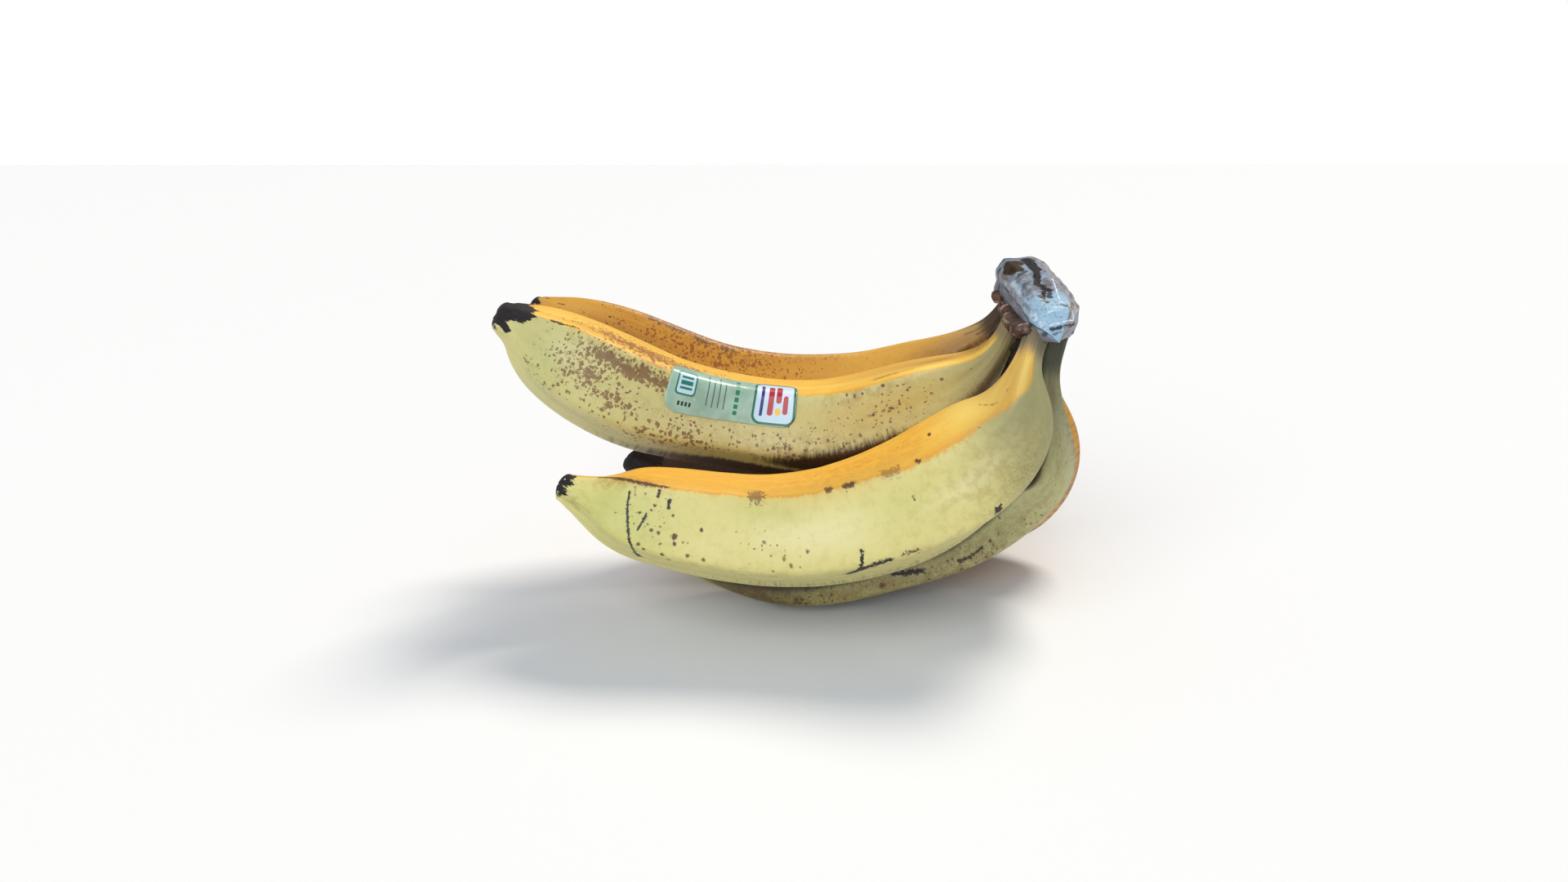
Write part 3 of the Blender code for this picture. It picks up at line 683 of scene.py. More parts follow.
def tube_faces(rings, sides):
    """Quads between closed rings, and fans from the two end points, which come last.

    Also gives each corner's ring and its column, counted on past the seam.
    """
    corner_ring, corner_side = quad_corners(rings, sides)
    quads = corner_ring * sides + corner_side % sides
    here = np.arange(sides)
    near_side = np.stack([here + 1, here], -1)
    far_side = near_side[:, ::-1]
    last = (rings - 1) * sides
    near = np.insert(near_side % sides, 0, rings * sides, axis=1)
    far = np.insert(last + far_side % sides, 0, rings * sides + 1, axis=1)
    fan = np.zeros(3 * sides, int)
    corner_rings = np.concatenate([corner_ring.ravel(), fan, fan + rings - 1])
    fans = [np.insert(side, 0, here, axis=1).ravel() for side in (near_side, far_side)]
    corner_sides = np.concatenate([corner_side.ravel(), *fans])
    return quads.tolist() + near.tolist() + far.tolist(), corner_rings, corner_sides


def grid_faces(rows, columns):
    """Quads of an open grid, and each corner's row and column."""
    corner_row, corner_column = quad_corners(rows, columns - 1)
    faces = (corner_row * columns + corner_column).tolist()
    return faces, corner_row.ravel(), corner_column.ravel()


def make_piece(name, points, faces, inside):
    """A mesh object from points in millimetres, its faces turned away from an inside point."""
    mesh = bpy.data.meshes.new(name)
    mesh.from_pydata((points * MM).tolist(), [], faces)
    mesh.update()
    count = len(mesh.polygons)
    normal, middle, area = np.empty(count * 3), np.empty(count * 3), np.empty(count)
    mesh.polygons.foreach_get("normal", normal)
    mesh.polygons.foreach_get("center", middle)
    mesh.polygons.foreach_get("area", area)
    outward = (normal.reshape(-1, 3) * (middle.reshape(-1, 3) - np.array(inside) * MM)).sum(1)
    if (outward * area).sum() < 0:
        mesh.flip_normals()
    mesh.shade_smooth()
    body = bpy.data.objects.new(name, mesh)
    bpy.context.scene.collection.objects.link(body)
    return body


def paint_map(body, name, across, along):
    """A UV map from two arrays of corner values, in the order of the faces as first given."""
    layer = body.data.uv_layers.new(name=name)
    layer.data.foreach_set("uv", np.stack([across, along], -1).astype(np.float32).ravel())


def paint(body, name, values):
    """A point attribute from an array: one number, or three, for each point."""
    kind, field = ("FLOAT_VECTOR", "vector") if values.ndim > 1 else ("FLOAT", "value")
    layer = body.data.attributes.new(name, kind, "POINT")
    layer.data.foreach_set(field, values.astype(np.float32).ravel())


class Signal:
    """An output of a shader node. Arithmetic on it adds the node that works it out."""

    def __init__(self, socket):
        self.socket = socket

    def __add__(self, other):
        return maths("ADD", self, other)

    def __sub__(self, other):
        return maths("SUBTRACT", self, other)

    def __rsub__(self, other):
        return maths("SUBTRACT", other, self)

    def __mul__(self, other):
        return maths("MULTIPLY", self, other)


def add(tree, kind, inputs=(), **settings):
    """A node with its settings, and its inputs linked or set."""
    made = tree.nodes.new(kind)
    for name, value in settings.items():
        setattr(made, name, value)
    for key, value in dict(inputs).items():
        if isinstance(value, Signal):
            tree.links.new(value.socket, made.inputs[key])
        else:
            made.inputs[key].default_value = value
    return made


def work_out(kind, inputs, output=0, **settings):
    """An output of a new node of a kind, in the tree of the first signal among its inputs."""
    inputs = dict(inputs)
    tree = next(value.socket.id_data for value in inputs.values() if isinstance(value, Signal))
    return Signal(add(tree, kind, inputs, **settings).outputs[output])


def maths(operation, *values, clamp=False):
    return work_out("ShaderNodeMath", enumerate(values), operation=operation, use_clamp=clamp)


def vectors(operation, *values, output=0):
    return work_out("ShaderNodeVectorMath", enumerate(values), output, operation=operation)


def blend(factor, first, second, **settings):
    """A colour between two."""
    first, second = (part if isinstance(part, Signal) else (*part, 1) for part in (first, second))
    inputs = {0: factor, 6: first, 7: second}
    return work_out("ShaderNodeMix", inputs, 2, data_type="RGBA", **settings)


def tint(factor, colour, by):
    """A colour multiplied by another, as far as the factor goes."""
    return blend(factor, colour, by, blend_type="MULTIPLY")


def step(value, low, high):
    """0 at low, 1 at high, and a smooth step between."""
    inputs = {"Value": value, "From Min": low, "From Max": high}
    return work_out("ShaderNodeMapRange", inputs, interpolation_type="SMOOTHSTEP")


def noise(vector, scale, detail=2.0, roughness=0.5):
    inputs = {"Vector": vector, "Scale": scale, "Detail": detail, "Roughness": roughness}
    return work_out("ShaderNodeTexNoise", inputs, "Fac")


def centred(value, height):
    """Noise made to swing about zero, and scaled."""
    return (value - 0.5) * height


def stretch(vector, scale):
    """A vector with its parts scaled, to lengthen a pattern."""
    return vectors("MULTIPLY", vector, scale)


def strongest(masks):
    """The largest of several masks."""
    total = masks[0]
    for mask in masks[1:]:
        total = maths("MAXIMUM", total, mask)
    return total


def attribute(tree, name, output="Fac"):
    return Signal(add(tree, "ShaderNodeAttribute", attribute_name=name).outputs[output])


def flat_map(tree, name):
    """Places on a piece's own UV map."""
    return Signal(add(tree, "ShaderNodeUVMap", uv_map=name).outputs[0])


def object_place(tree):
    """Object coordinates in millimetres."""
    place = Signal(add(tree, "ShaderNodeTexCoord").outputs["Object"])
    return work_out("ShaderNodeMapping", {"Vector": place, "Scale": (1 / MM, 1 / MM, 1 / MM)})


def shader_group(name, takes, gives):
    """A new node group: its tree, its inputs by name, and the socket of its one output."""
    tree = bpy.data.node_groups.new(name, "ShaderNodeTree")
    for label, default in takes.items():
        kind = "NodeSocketVector" if isinstance(default, tuple) else "NodeSocketFloat"
        socket = tree.interface.new_socket(label, in_out="INPUT", socket_type=kind)
        socket.default_value = default
    tree.interface.new_socket(gives, in_out="OUTPUT", socket_type="NodeSocketFloat")
    start = {socket.name: Signal(socket) for socket in tree.nodes.new("NodeGroupInput").outputs}
    return tree, start, tree.nodes.new("NodeGroupOutput").inputs[gives]


def use_group(group, **inputs):
    """The output of a node that holds a group."""
    inputs = {label.replace("_", " "): value for label, value in inputs.items()}
    return work_out("ShaderNodeGroup", inputs, node_tree=group)


def mark_group():
    """A ragged line between two places on a flat map: 1 within its half width, 0 outside."""
    if "Mark" in bpy.data.node_groups:
        return bpy.data.node_groups["Mark"]
    takes = {name: (0, 0, 0) for name in ("Place", "Start", "End")}
    takes |= {"Noise": 0.5, "Half Width": 0.5, "Raggedness": 0.3, "Softness": 0.25, "Strength": 1.0}
    tree, start, end = shader_group("Mark", takes, "Mask")
    line = vectors("SUBTRACT", start["End"], start["Start"])
    away = vectors("SUBTRACT", start["Place"], start["Start"])
    reached = vectors("DOT_PRODUCT", away, line, output=1)
    whole = vectors("DOT_PRODUCT", line, line, output=1)
    share = maths("DIVIDE", reached, whole, clamp=True)
    nearest = work_out("ShaderNodeVectorMath", {0: line, "Scale": share}, operation="SCALE")
    gap = vectors("LENGTH", vectors("SUBTRACT", away, nearest), output=1)
    gap = gap + centred(start["Noise"], start["Raggedness"]) * 4.0
    width, soft = start["Half Width"], start["Softness"]
    mask = step(gap, width + soft, width - soft) * start["Strength"]
    tree.links.new(mask.socket, end)
    return tree


def freckle_group():
    """Round dots of random size, one in each cell, that grow and get closer with density."""
    if "Freckles" in bpy.data.node_groups:
        return bpy.data.node_groups["Freckles"]
    takes = {"Vector": (0, 0, 0), "Cell": 2.0, "Density": 0.5, "Size": 0.4}
    tree, start, end = shader_group("Freckles", takes, "Mask")
    scale = maths("DIVIDE", 1.0, start["Cell"])
    inputs = {"Vector": start["Vector"], "Scale": scale * 1.7, "Detail": 1.0}
    bent = work_out("ShaderNodeTexNoise", inputs, "Color")
    bend = stretch(vectors("SUBTRACT", bent, (0.5, 0.5, 0.5)), (1.4, 1.4, 1.4))
    inputs = {"Vector": vectors("ADD", start["Vector"], bend), "Scale": scale, "Randomness": 1.0}
    cells = add(tree, "ShaderNodeTexVoronoi", inputs).outputs
    parts = add(tree, "ShaderNodeSeparateColor", {0: Signal(cells["Color"])}).outputs
    chance, size = Signal(parts[0]), Signal(parts[1])
    shown = step(start["Density"] - chance, -0.02, 0.04)
    radius = start["Size"] * (size + 0.35) * (start["Density"] + 0.35)
    mask = step(radius - Signal(cells["Distance"]), -0.05, 0.06) * shown
    tree.links.new(mask.socket, end)
    return tree


def fibre_group():
    """Fine lines along the fruit and small pores: a height for a bump."""
    if "Peel Relief" in bpy.data.node_groups:
        return bpy.data.node_groups["Peel Relief"]
    tree, start, end = shader_group("Peel Relief", {"Vector": (0, 0, 0), "Neck": 0.0}, "Height")
    place = start["Vector"]
    lines = noise(stretch(place, (1, 1, 0.08)), 1.5, 3.0, 0.6)
    pores = noise(place, 2.2, 2.0, 0.5)
    waves = noise(stretch(place, (1, 1, 0.4)), 0.22, 1.0)
    creases = noise(stretch(place, (1, 1, 0.12)), 0.7, 3.0, 0.6)
    height = lines * 0.5 + pores * 0.25 + waves * 1.2 + creases * start["Neck"]
    tree.links.new(height.socket, end)
    return tree


def all_marks(place, wobble, marks, softness, fade=0.0):
    """Marks as one mask, each from its start and end, half width, raggedness and strength."""
    masks = []
    for start, end, width, ragged, strength in marks:
        line = {"Start": start, "End": end, "Half_Width": width, "Raggedness": ragged}
        soft = softness + fade * width
        masks.append(
            use_group(
                mark_group(), Place=place, Noise=wobble, **line, Softness=soft, Strength=strength
            )
        )
    return strongest(masks) if masks else 0.0


def peel_marks(place, wobble, marks, softness):
    """Marks that are given by millimetres along a fruit and degrees round it, as one mask."""
    rows = []
    for along, angle, along_end, angle_end, *rest in marks:
        start = (SIDE_SPAN * math.radians(angle), along, 0)
        end = (SIDE_SPAN * math.radians(angle_end), along_end, 0)
        rows.append((start, end, *rest))
    return all_marks(place, wobble, rows, softness, MARK_FADE)


def new_material(name, values):
    """A material, its node tree and its shader, with values set on the shader."""
    material = bpy.data.materials.new(name)
    material.use_nodes = True
    tree = material.node_tree
    shader = tree.nodes["Principled BSDF"]
    for key, value in values.items():
        shader.inputs[key].default_value = value
    return material, tree, shader


def dress(shader, colour, height, strength, depth):
    """Link a colour to a shader, and a height to it through a bump of a depth in millimetres."""
    links = shader.id_data.links
    inputs = {"Height": height, "Strength": strength, "Distance": depth * MM}
    links.new(colour.socket, shader.inputs["Base Color"])
    links.new(work_out("ShaderNodeBump", inputs).socket, shader.inputs["Normal"])


def scaled(colour, by):
    return tuple(part * share for part, share in zip(colour, by))


def peel_material(name, settings, look):
    """Ripe banana peel: face colours, painted light and shade, neck, stains, freckles, marks
    and a black tip.
    """
    material, tree, shader = new_material("peel_" + name, {})

    def mask(kind):
        return attribute(tree, kind)

    straight = attribute(tree, "straight", "Vector")
    place = flat_map(tree, "peel")
    broad = noise(straight, 0.045, 3.0, 0.55)
    mottle = noise(straight, 0.35, 4.0, 0.6)
    streak = noise(stretch(straight, (1, 1, 0.1)), 0.9, 3.0, 0.6)
    hair = noise(stretch(straight, (0.12, 0.12, 1)), 0.9, 3.0, 0.65)
    wobble = noise(straight, 1.1, 2.0, 0.6)
    grain = noise(straight, 1.4, 2.0, 0.6)

    # The greenish side faces, the ripe inner ones on top, whose orange is partly painted warm
    # light from above, and the ragged edge between them.
    side = scaled(settings.side, look["side"])
    sway = centred(broad, 0.7)
    greenish = step(mask("green") + sway, 0.1, 1.0)
    colour = blend(greenish, side, scaled(side, (0.80, 0.88, 0.72)))
    # Pale patches: partly a whitish bloom, and partly painted highlight where a face catches the
    # light.
    bloom_and_highlight = step(mask("pale") - sway, 0.1, 1.0)
    colour = blend(bloom_and_highlight, colour, scaled(side, (1.12, 1.14, 1.5)))
    colour = blend(mask("tan"), colour, scaled(side, (0.95, 0.74, 0.42)))
    colour = tint(step(mottle, 0.45, 0.75), colour, (0.93, 0.91, 0.86))
    deep = scaled(look["top"], (0.94, 0.80, 0.6))
    ripe = blend(step(streak, 0.30, 0.72), deep, look["top"])
    ripe = blend(mask("tan") * 0.8, ripe, look["ripe_tan"])
    # Bright yellow patches on the ripe faces: painted highlight.
    ripe = blend(mask("painted_highlight"), ripe, (0.93, 0.64, 0.12))
    warm = mask("warm") + (mottle * 0.5 + grain * 0.6 - 0.55)
    share = step(warm, 0.22, 0.78)
    colour = blend(share, colour, ripe)
    edge = step(warm, 0.3, 0.55) * step(warm, 0.95, 0.6)
    colour = tint(edge * 0.6, colour, (0.85, 0.68, 0.5))
    olive = mask("olive") * (0.85 - share * look.get("cover", GREEN_COVER))
    colour = blend(olive, colour, look["green"])

    # Stains; painted shade on shaded faces and on the undersides; painted shade with some dust
    # where two fruit nearly touch; and a painted shadow along the line where the lower front
    # fruit goes under the upper one.
    stain = mask("stain") * step(mottle, 0.35, 0.65)
    colour = tint(stain * 0.8, colour, (0.62, 0.48, 0.42))
    shade = mask("shade") + centred(grain, 0.5)
    colour = tint(step(shade, 0.05, 1.0), colour, (0.30, 0.20, 0.16))
    # Dark brown undersides: painted shade.
    underside_shade = mask("underside_shade") + centred(hair, 1.1)
    colour = blend(step(underside_shade, 0.3, 1.0), colour, (0.045, 0.018, 0.005))
    # Painted shade, with some dust, where another fruit's peel is close.
    colour = blend(mask("joint"), colour, (0.022, 0.014, 0.008))
    # A painted shadow along the line where the lower front fruit goes under the upper one.
    if name == "front_lower":
        pairs = zip(JOINT_SHADOW_LINE, JOINT_SHADOW_LINE[1:])
        line = [(*first, *second, JOINT_HALF_WIDTH, 0.12, 0.92) for first, second in pairs]
        colour = blend(peel_marks(place, wobble, line, 0.5), colour, (0.03, 0.018, 0.014))

    # Freckles of two sizes, blotches, and the marks one by one.
    density = mask("freckle")
    moved = vectors("ADD", stretch(straight, (1.0, 1.0, 1.4)), (31.0, 7.0, 13.0))
    group = freckle_group()
    small = use_group(group, Vector=straight, Cell=1.3, Density=density, Size=0.44)
    medium = use_group(group, Vector=moved, Cell=2.2, Density=density * 0.8, Size=0.40)
    blotch = noise(straight, 0.62, 5.0, 0.7) + density * 0.17
    freckles = strongest([small, medium, step(blotch, 0.70, 0.78)])
    colour = tint(freckles * 0.9, colour, look["freckle"])
    brown = BROWN_MARKS.get(name, []) + [
        (along, angle, along, angle - DOT_TURN, *rest)
        for along, angle, *rest in BROWN_DOTS.get(name, [])
    ]
    colour = blend(peel_marks(place, wobble, brown, 0.15), colour, (0.11, 0.045, 0.015))
    dark = DARK_MARKS.get(name, [])
    colour = blend(peel_marks(place, wobble, dark, 0.10), colour, (0.018, 0.010, 0.010))

    # The dry neck, and the black tip with lighter patches that are partly dust and partly
    # painted sheen.
    neck = mask("neck")
    colour = blend(step(neck + centred(streak, 0.9), 0.3, 0.95), colour, look["neck"])
    tip = mask("tip") + centred(noise(straight, 0.20, 3.0, 0.55), 2.0)
    tip = step(tip - mask("notch"), 0.42, 0.56)
    # Lighter patches on the black tip: partly dust, partly painted sheen.
    dust_and_sheen = blend(step(wobble, 0.55, 0.75), settings.tip, (0.018, 0.012, 0.014))
    colour = blend(tip, colour, dust_and_sheen)

    rough = mottle * 0.16 + 0.42 + strongest([tip, neck]) * 0.3
    tree.links.new(rough.socket, shader.inputs["Roughness"])
    height = use_group(fibre_group(), Vector=straight, Neck=neck) + tip * wobble * 1.5
    dress(shader, colour, height, 0.5, 0.25)
    return material


def patches(kind, name, run, angle):
    """A soft spot for each patch of a kind: the largest of their bell curves at each point."""
    total = np.zeros_like(run)
    for along, half, round_, half_round, strength in PATCHES[name][kind]:
        turned = (np.degrees(angle) - round_ + 180) % 360 - 180
        spot = bell(run, along, half) * bell(turned, 0, half_round)
        total = np.maximum(total, strength * spot)
    return total


def joint_dust_and_shade(name, points):
    """1 where another fruit's peel is close, 0 where it is further than the painted shade and
    dust reach.
    """
    closest = np.full(len(points), 100.0)
    for other in NEIGHBOURS.get(name, []):
        rows = along_path(BANANAS[other], np.linspace(0, 1, JOINT_SAMPLES))
        gap = np.linalg.norm(points[:, None] - rows[None, :, :3], axis=-1)
        closest = np.minimum(closest, (gap - JOINT_REACH * rows[None, :, 3]).min(axis=1))
    return 1 - ramp(*JOINT_GAP, closest)


def make_banana(name, settings, look):
    """One fruit: rings along its centreline, a rounded dry tip, and its peel's masks."""
    rings, sides = settings.rings, settings.sides
    stations = crowded(rings)
    around = np.linspace(-math.pi, math.pi, sides, endpoint=False)[None]
    points, straight = peel_points(name, stations, around, lumps=settings.lumps / MM)
    middles = points.mean(axis=1)
    onward = middles[-1] - middles[-2]
    onward /= np.linalg.norm(onward)
    swing = np.linspace(0, math.pi / 2, CAP_RINGS + 1)[1:-1, None, None]
    edge = points[-1] - middles[-1]
    rough = lattice_noise(points[-1], CAP_CELL, 5)[:, None] * CAP_HEIGHT
    cap = middles[-1] + edge * np.cos(swing) ** CAP_FULLNESS
    cap = cap + onward * (TIP_CAP + rough) * np.sin(swing)
    grid = np.concatenate([points, cap])
    straight_cap = np.repeat(straight[-1:], len(cap), axis=0)
    straight_cap[..., 2] += TIP_CAP * np.sin(swing[..., 0])
    straight_cap[..., :2] *= np.cos(swing)
    flat = np.concatenate([straight, straight_cap])
    ends = np.stack([middles[0], middles[-1] + onward * TIP_CAP])
    vertices = np.concatenate([grid.reshape(-1, 3), ends])
    vertices[:, 2] = np.maximum(vertices[:, 2], 0)
    faces, corner_ring, corner_side = tube_faces(len(grid), sides)
    body = make_piece("banana_" + name, vertices, faces, middles[rings // 2])

    turn = skin(BANANAS[name], stations)[4]
    turn = np.concatenate([turn, np.full(len(cap), turn[-1])])[:, None]
    angle = around + turn
    run = flat[..., 2]
    length = measured(name, 1)[1]

    def spread(values):
        return np.concatenate([np.broadcast_to(values, run.shape).ravel(), values[[0, -1], 0]])

    # How orange each face is: partly ripe colour, and partly painted warm light on the upper faces.
    warmth = np.array(FACE_WARMTH[name])
    drift = np.interp(run, *np.transpose(EDGE_DRIFT.get(name, [(0, 0)])))
    face = (around - np.radians(drift)) / (math.tau / FACES) % FACES
    lower = np.floor(face).astype(int) % FACES
    soft = np.interp(run, *np.transpose(EDGE_SOFT.get(name, [(0, SHARP_EDGE)])))
    share = ramp(0, 1, (face - np.floor(face) - 0.5) / (2 * soft) + 0.5)
    warm = warmth[lower] * (1 - share) + warmth[(lower + 1) % FACES] * share + 0 * run
    paint(body, "warm", spread(warm))
    # Each kind of patch in its own attribute, painted highlight and painted shade among them.
    for kind in PATCHES[name]:
        paint(body, kind, spread(patches(kind, name, run, angle)))
    # Painted shade, with some dust, where another fruit is close.
    paint(body, "joint", joint_dust_and_shade(name, vertices))
    paint(body, "olive", spread(1 - ramp(*look["olive"], run)))
    paint(body, "neck", spread(1 - ramp(*look["dry"], run)))
    side, most, least = look["black"]
    facing = (1 + np.cos(angle - math.radians(side))) / 2
    edge = length - least - (most - least) * facing
    paint(body, "tip", spread(ramp(edge - BLACK_FADE[0], edge + BLACK_FADE[1], run)))
    ends_flat = np.array([[0, 0, run[0, 0]], [0, 0, length + TIP_CAP]])
    paint(body, "straight", np.concatenate([flat.reshape(-1, 3), ends_flat]))
    turned = -math.pi + math.tau / sides * corner_side + turn[corner_ring, 0]
    paint_map(body, "peel", SIDE_SPAN * turned, run[corner_ring, 0])
    body.data.materials.append(peel_material(name, settings, look))
    return body


def lump_rings(points, rings, sides, room=0.0, margin=0.0):
    """Rounded-box rings that stand across the y axis, from a path with half sizes.

    A point is the centre plus the half sizes times the superellipse's cosine and sine.
    """
    rows = along_path(points, np.linspace(margin, 1 - margin, rings))
    around = np.arange(sides) * math.tau / sides
    cosine, sine = np.cos(around), np.sin(around)
    reach = (np.abs(cosine) ** LUMP_POWER + np.abs(sine) ** LUMP_POWER) ** (-1 / LUMP_POWER)
    grid = np.repeat(rows[:, None, :3], sides, axis=1)
    grid[..., 0] += (rows[:, 3, None] + room) * reach * cosine
    grid[..., 2] += (rows[:, 4, None] + room) * reach * sine
    return grid


def closed_tube(grid):
    """Points and faces of rings closed at both ends."""
    rings, sides = grid.shape[:2]
    ends = grid[[0, -1]].mean(axis=1)
    return np.concatenate([grid.reshape(-1, 3), ends]), tube_faces(rings, sides)[0]


def crown_form():
    """The pad, collar, knob and web, and a sleeve round the start of a neck, as one point set."""
    tubes = [lump_rings(*lump) for lump in LUMPS]
    for name, sleeve in SLEEVES.items():
        length = fine_path(BANANAS[name])[1][-1]
        stations = np.linspace(0, sleeve / length, SLEEVE_RINGS)
        around = np.linspace(-math.pi, math.pi, SLEEVE_SIDES, endpoint=False)[None]
        sinking = ramp(0.2, 1.0, np.linspace(0, 1, SLEEVE_RINGS))[:, None]
        lift = SLEEVE_LIFT - SLEEVE_SINK * sinking
        tubes.append(peel_points(name, stations, around, lift)[0])
    points, faces, start = [], [], 0
    for grid in tubes:
        tube_points, tube = closed_tube(grid)
        points.append(tube_points)
        faces += [[corner + start for corner in face] for face in tube]
        start += len(tube_points)
    return np.concatenate(points), faces


def settled_mesh(body, name):
    """The mesh that an object's modifiers leave."""
    final = body.evaluated_get(bpy.context.evaluated_depsgraph_get())
    mesh = bpy.data.meshes.new_from_object(final)
    mesh.name = name
    return mesh


def tissue_material(settings):
    """Dried brown crown tissue: pinkish on its raised knobs, partly its own colour and partly
    painted highlight; nearly black in patches; and painted nearly black as shade low
    between the necks.
    """
    material, tree, shader = new_material("crown_tissue", {"Roughness": 0.7})
    place = object_place(tree)
    coarse = noise(place, 0.35, 4.0, 0.65)
    fine = noise(place, 1.6, 3.0, 0.6)
    colour = blend(step(coarse, 0.38, 0.66), (0.035, 0.016, 0.011), settings.tissue)
    # Pink on the raised knobs: partly the tissue's own colour, partly painted highlight.
    colour = blend(step(attribute(tree, "proud"), 0.45, 1.0), colour, (0.42, 0.26, 0.22))
    colour = blend(step(fine, 0.60, 0.75), colour, (0.03, 0.014, 0.010))
    # Painted shade: nearly black low between the necks.
    colour = blend(attribute(tree, "web_shade"), colour, (0.014, 0.008, 0.006))
    dress(shader, colour, fine, 0.7, 0.4)
    return material


def wrap_points(rings, steps):
    """The wrap's outer face: an arc of a faceted section at each place along the crown.

    A point is a weighted sum of the section's corners, with the weights smoothed along the
    arc to round the corners. Its offset from the hem's middle shrinks to nothing at both
    ends as a quarter circle does, so the hood closes on its hem.
    """
    share = np.linspace(0, 1, rings)
    rows = along_path(PAD, share)
    across = np.linspace(0, 1, steps)
    corners = np.array(WRAP_CORNERS)
    weights = np.stack([np.interp(across, corners[:, 2], row) for row in np.eye(len(corners))])
    kernel = np.bartlett(WRAP_ROUNDING + 2)[1:-1]
    kernel /= kernel.sum()
    padded = np.pad(weights, ((0, 0), (WRAP_ROUNDING // 2,) * 2), mode="edge")
    weights = np.stack([np.convolve(row, kernel, mode="valid") for row in padded])
    weights[:, [0, -1]] = np.eye(len(corners))[:, [0, -1]]
    front, rear = 1 - ramp(*WRAP_FRONT, share), ramp(*WRAP_REAR, share)
    x = rows[:, :1] + (rows[:, 3:4] + WRAP_ROOM) * corners[:, 0]
    z = rows[:, 2:3] + (rows[:, 4:5] + WRAP_ROOM) * corners[:, 1]
    hem_front, hem_middle, hem_rear = WRAP_HEM
    hem = hem_middle + front * (hem_front - hem_middle) + rear * (hem_rear - hem_middle)
    z[:, 0] = hem
    x = x + front[:, None] * WRAP_LEAN * (corners[:, 1] - LEAN_LEVEL)
    near_end = np.clip(1 - np.minimum(share, 1 - share) / WRAP_END_SHARE, 0, 1)
    close = np.sqrt(np.clip(1 - near_end**WRAP_CLOSING, 0, 1))[:, None]
    points = np.repeat(rows[:, None, :3], steps, axis=1)
    points[..., 0] += close * (x @ weights - rows[:, :1])
    points[..., 2] = hem[:, None] + close * (z @ weights - hem[:, None])
    points[..., 1] += WRAP_ROOM * np.where(share < 0.5, -1, 1)[:, None] * near_end[:, None] ** 2
    return points, share, close


def wrap_material(settings):
    """Clouded cling film over brown tissue: grey with a bluish tint that is mostly painted sky
    reflection, icy at the front as painted reflection, streaked behind, and with painted
    glints and shade along its creases.
    """
    finish = {"Roughness": 0.32, "Specular IOR Level": 0.1}
    finish |= {"Coat Weight": 0.07, "Coat Roughness": 0.16}
    material, tree, shader = new_material("clouded_wrap", finish)

    def mask(kind):
        return attribute(tree, kind)

    spot = object_place(tree)
    cloud = noise(spot, 0.13, 4.0, 0.6)
    wisps = noise(stretch(flat_map(tree, "wrap"), (0.35, 1.0, 1.0)), 0.45, 4.0, 0.65)
    wobble = noise(spot, 0.6, 3.0, 0.6)
    # The film's colour: its bluish tones are mostly painted sky reflection.
    colour = blend(step(cloud, 0.37, 0.56), (0.16, 0.165, 0.18), settings.cloudy)
    colour = blend(step(wisps, 0.56, 0.74), colour, (0.46, 0.57, 0.72))
    colour = blend(step(wisps, 0.42, 0.28), colour, (0.11, 0.105, 0.12))
    # The icy front end and spot: painted reflection.
    icy = mask("icy") + centred(wobble, 0.9)
    colour = blend(step(icy, 0.3, 0.9), colour, settings.icy)
    # Along the creases and crinkles: bright streaks of painted glint and dark ones of painted
    # shade.
    creased = noise(stretch(spot, (1.0, 0.6, 1.0)), 0.34, 5.0, 0.7)
    colour = blend(step(creased, 0.60, 0.72), colour, (0.60, 0.70, 0.80))
    colour = tint(step(creased, 0.44, 0.30), colour, (0.42, 0.42, 0.48))
    crinkle = noise(stretch(spot, (1.0, 0.7, 1.3)), 0.8, 5.0, 0.75)
    colour = tint(step(crinkle, 0.48, 0.36), colour, (0.62, 0.64, 0.70))
    colour = blend(step(crinkle, 0.57, 0.68) * 0.55, colour, (0.58, 0.70, 0.82))
    # The hem's dark band is partly painted shade, and the groove's dark line is painted shadow.
    colour = blend(mask("hem"), colour, (0.155, 0.145, 0.175))
    colour = tint(mask("groove"), colour, (0.22, 0.19, 0.22))
    far = mask("right")
    colour = blend(far, colour, (0.17, 0.14, 0.135))
    colour = blend(far * step(wisps, 0.36, 0.60), colour, (0.37, 0.38, 0.42))
    # Marks one by one: olive and brown patches where tissue shows through, dark lines of painted
    # shade, and white lines of painted highlight.
    for marks, softness, ink in (
        (WRAP_OLIVE, 0.35, (0.030, 0.014, 0.001)),
        (WRAP_SHADE_LINES, 0.35, (0.010, 0.006, 0.008)),
        (WRAP_BROWN, 0.4, (0.13, 0.08, 0.05)),
        (WRAP_HIGHLIGHTS, 0.15, (0.74, 0.80, 0.88)),
    ):
        colour = blend(all_marks(spot, wobble, marks, softness), colour, ink)
    dress(shader, colour, wisps + wobble * 0.7, 0.6, 0.5)
    return material


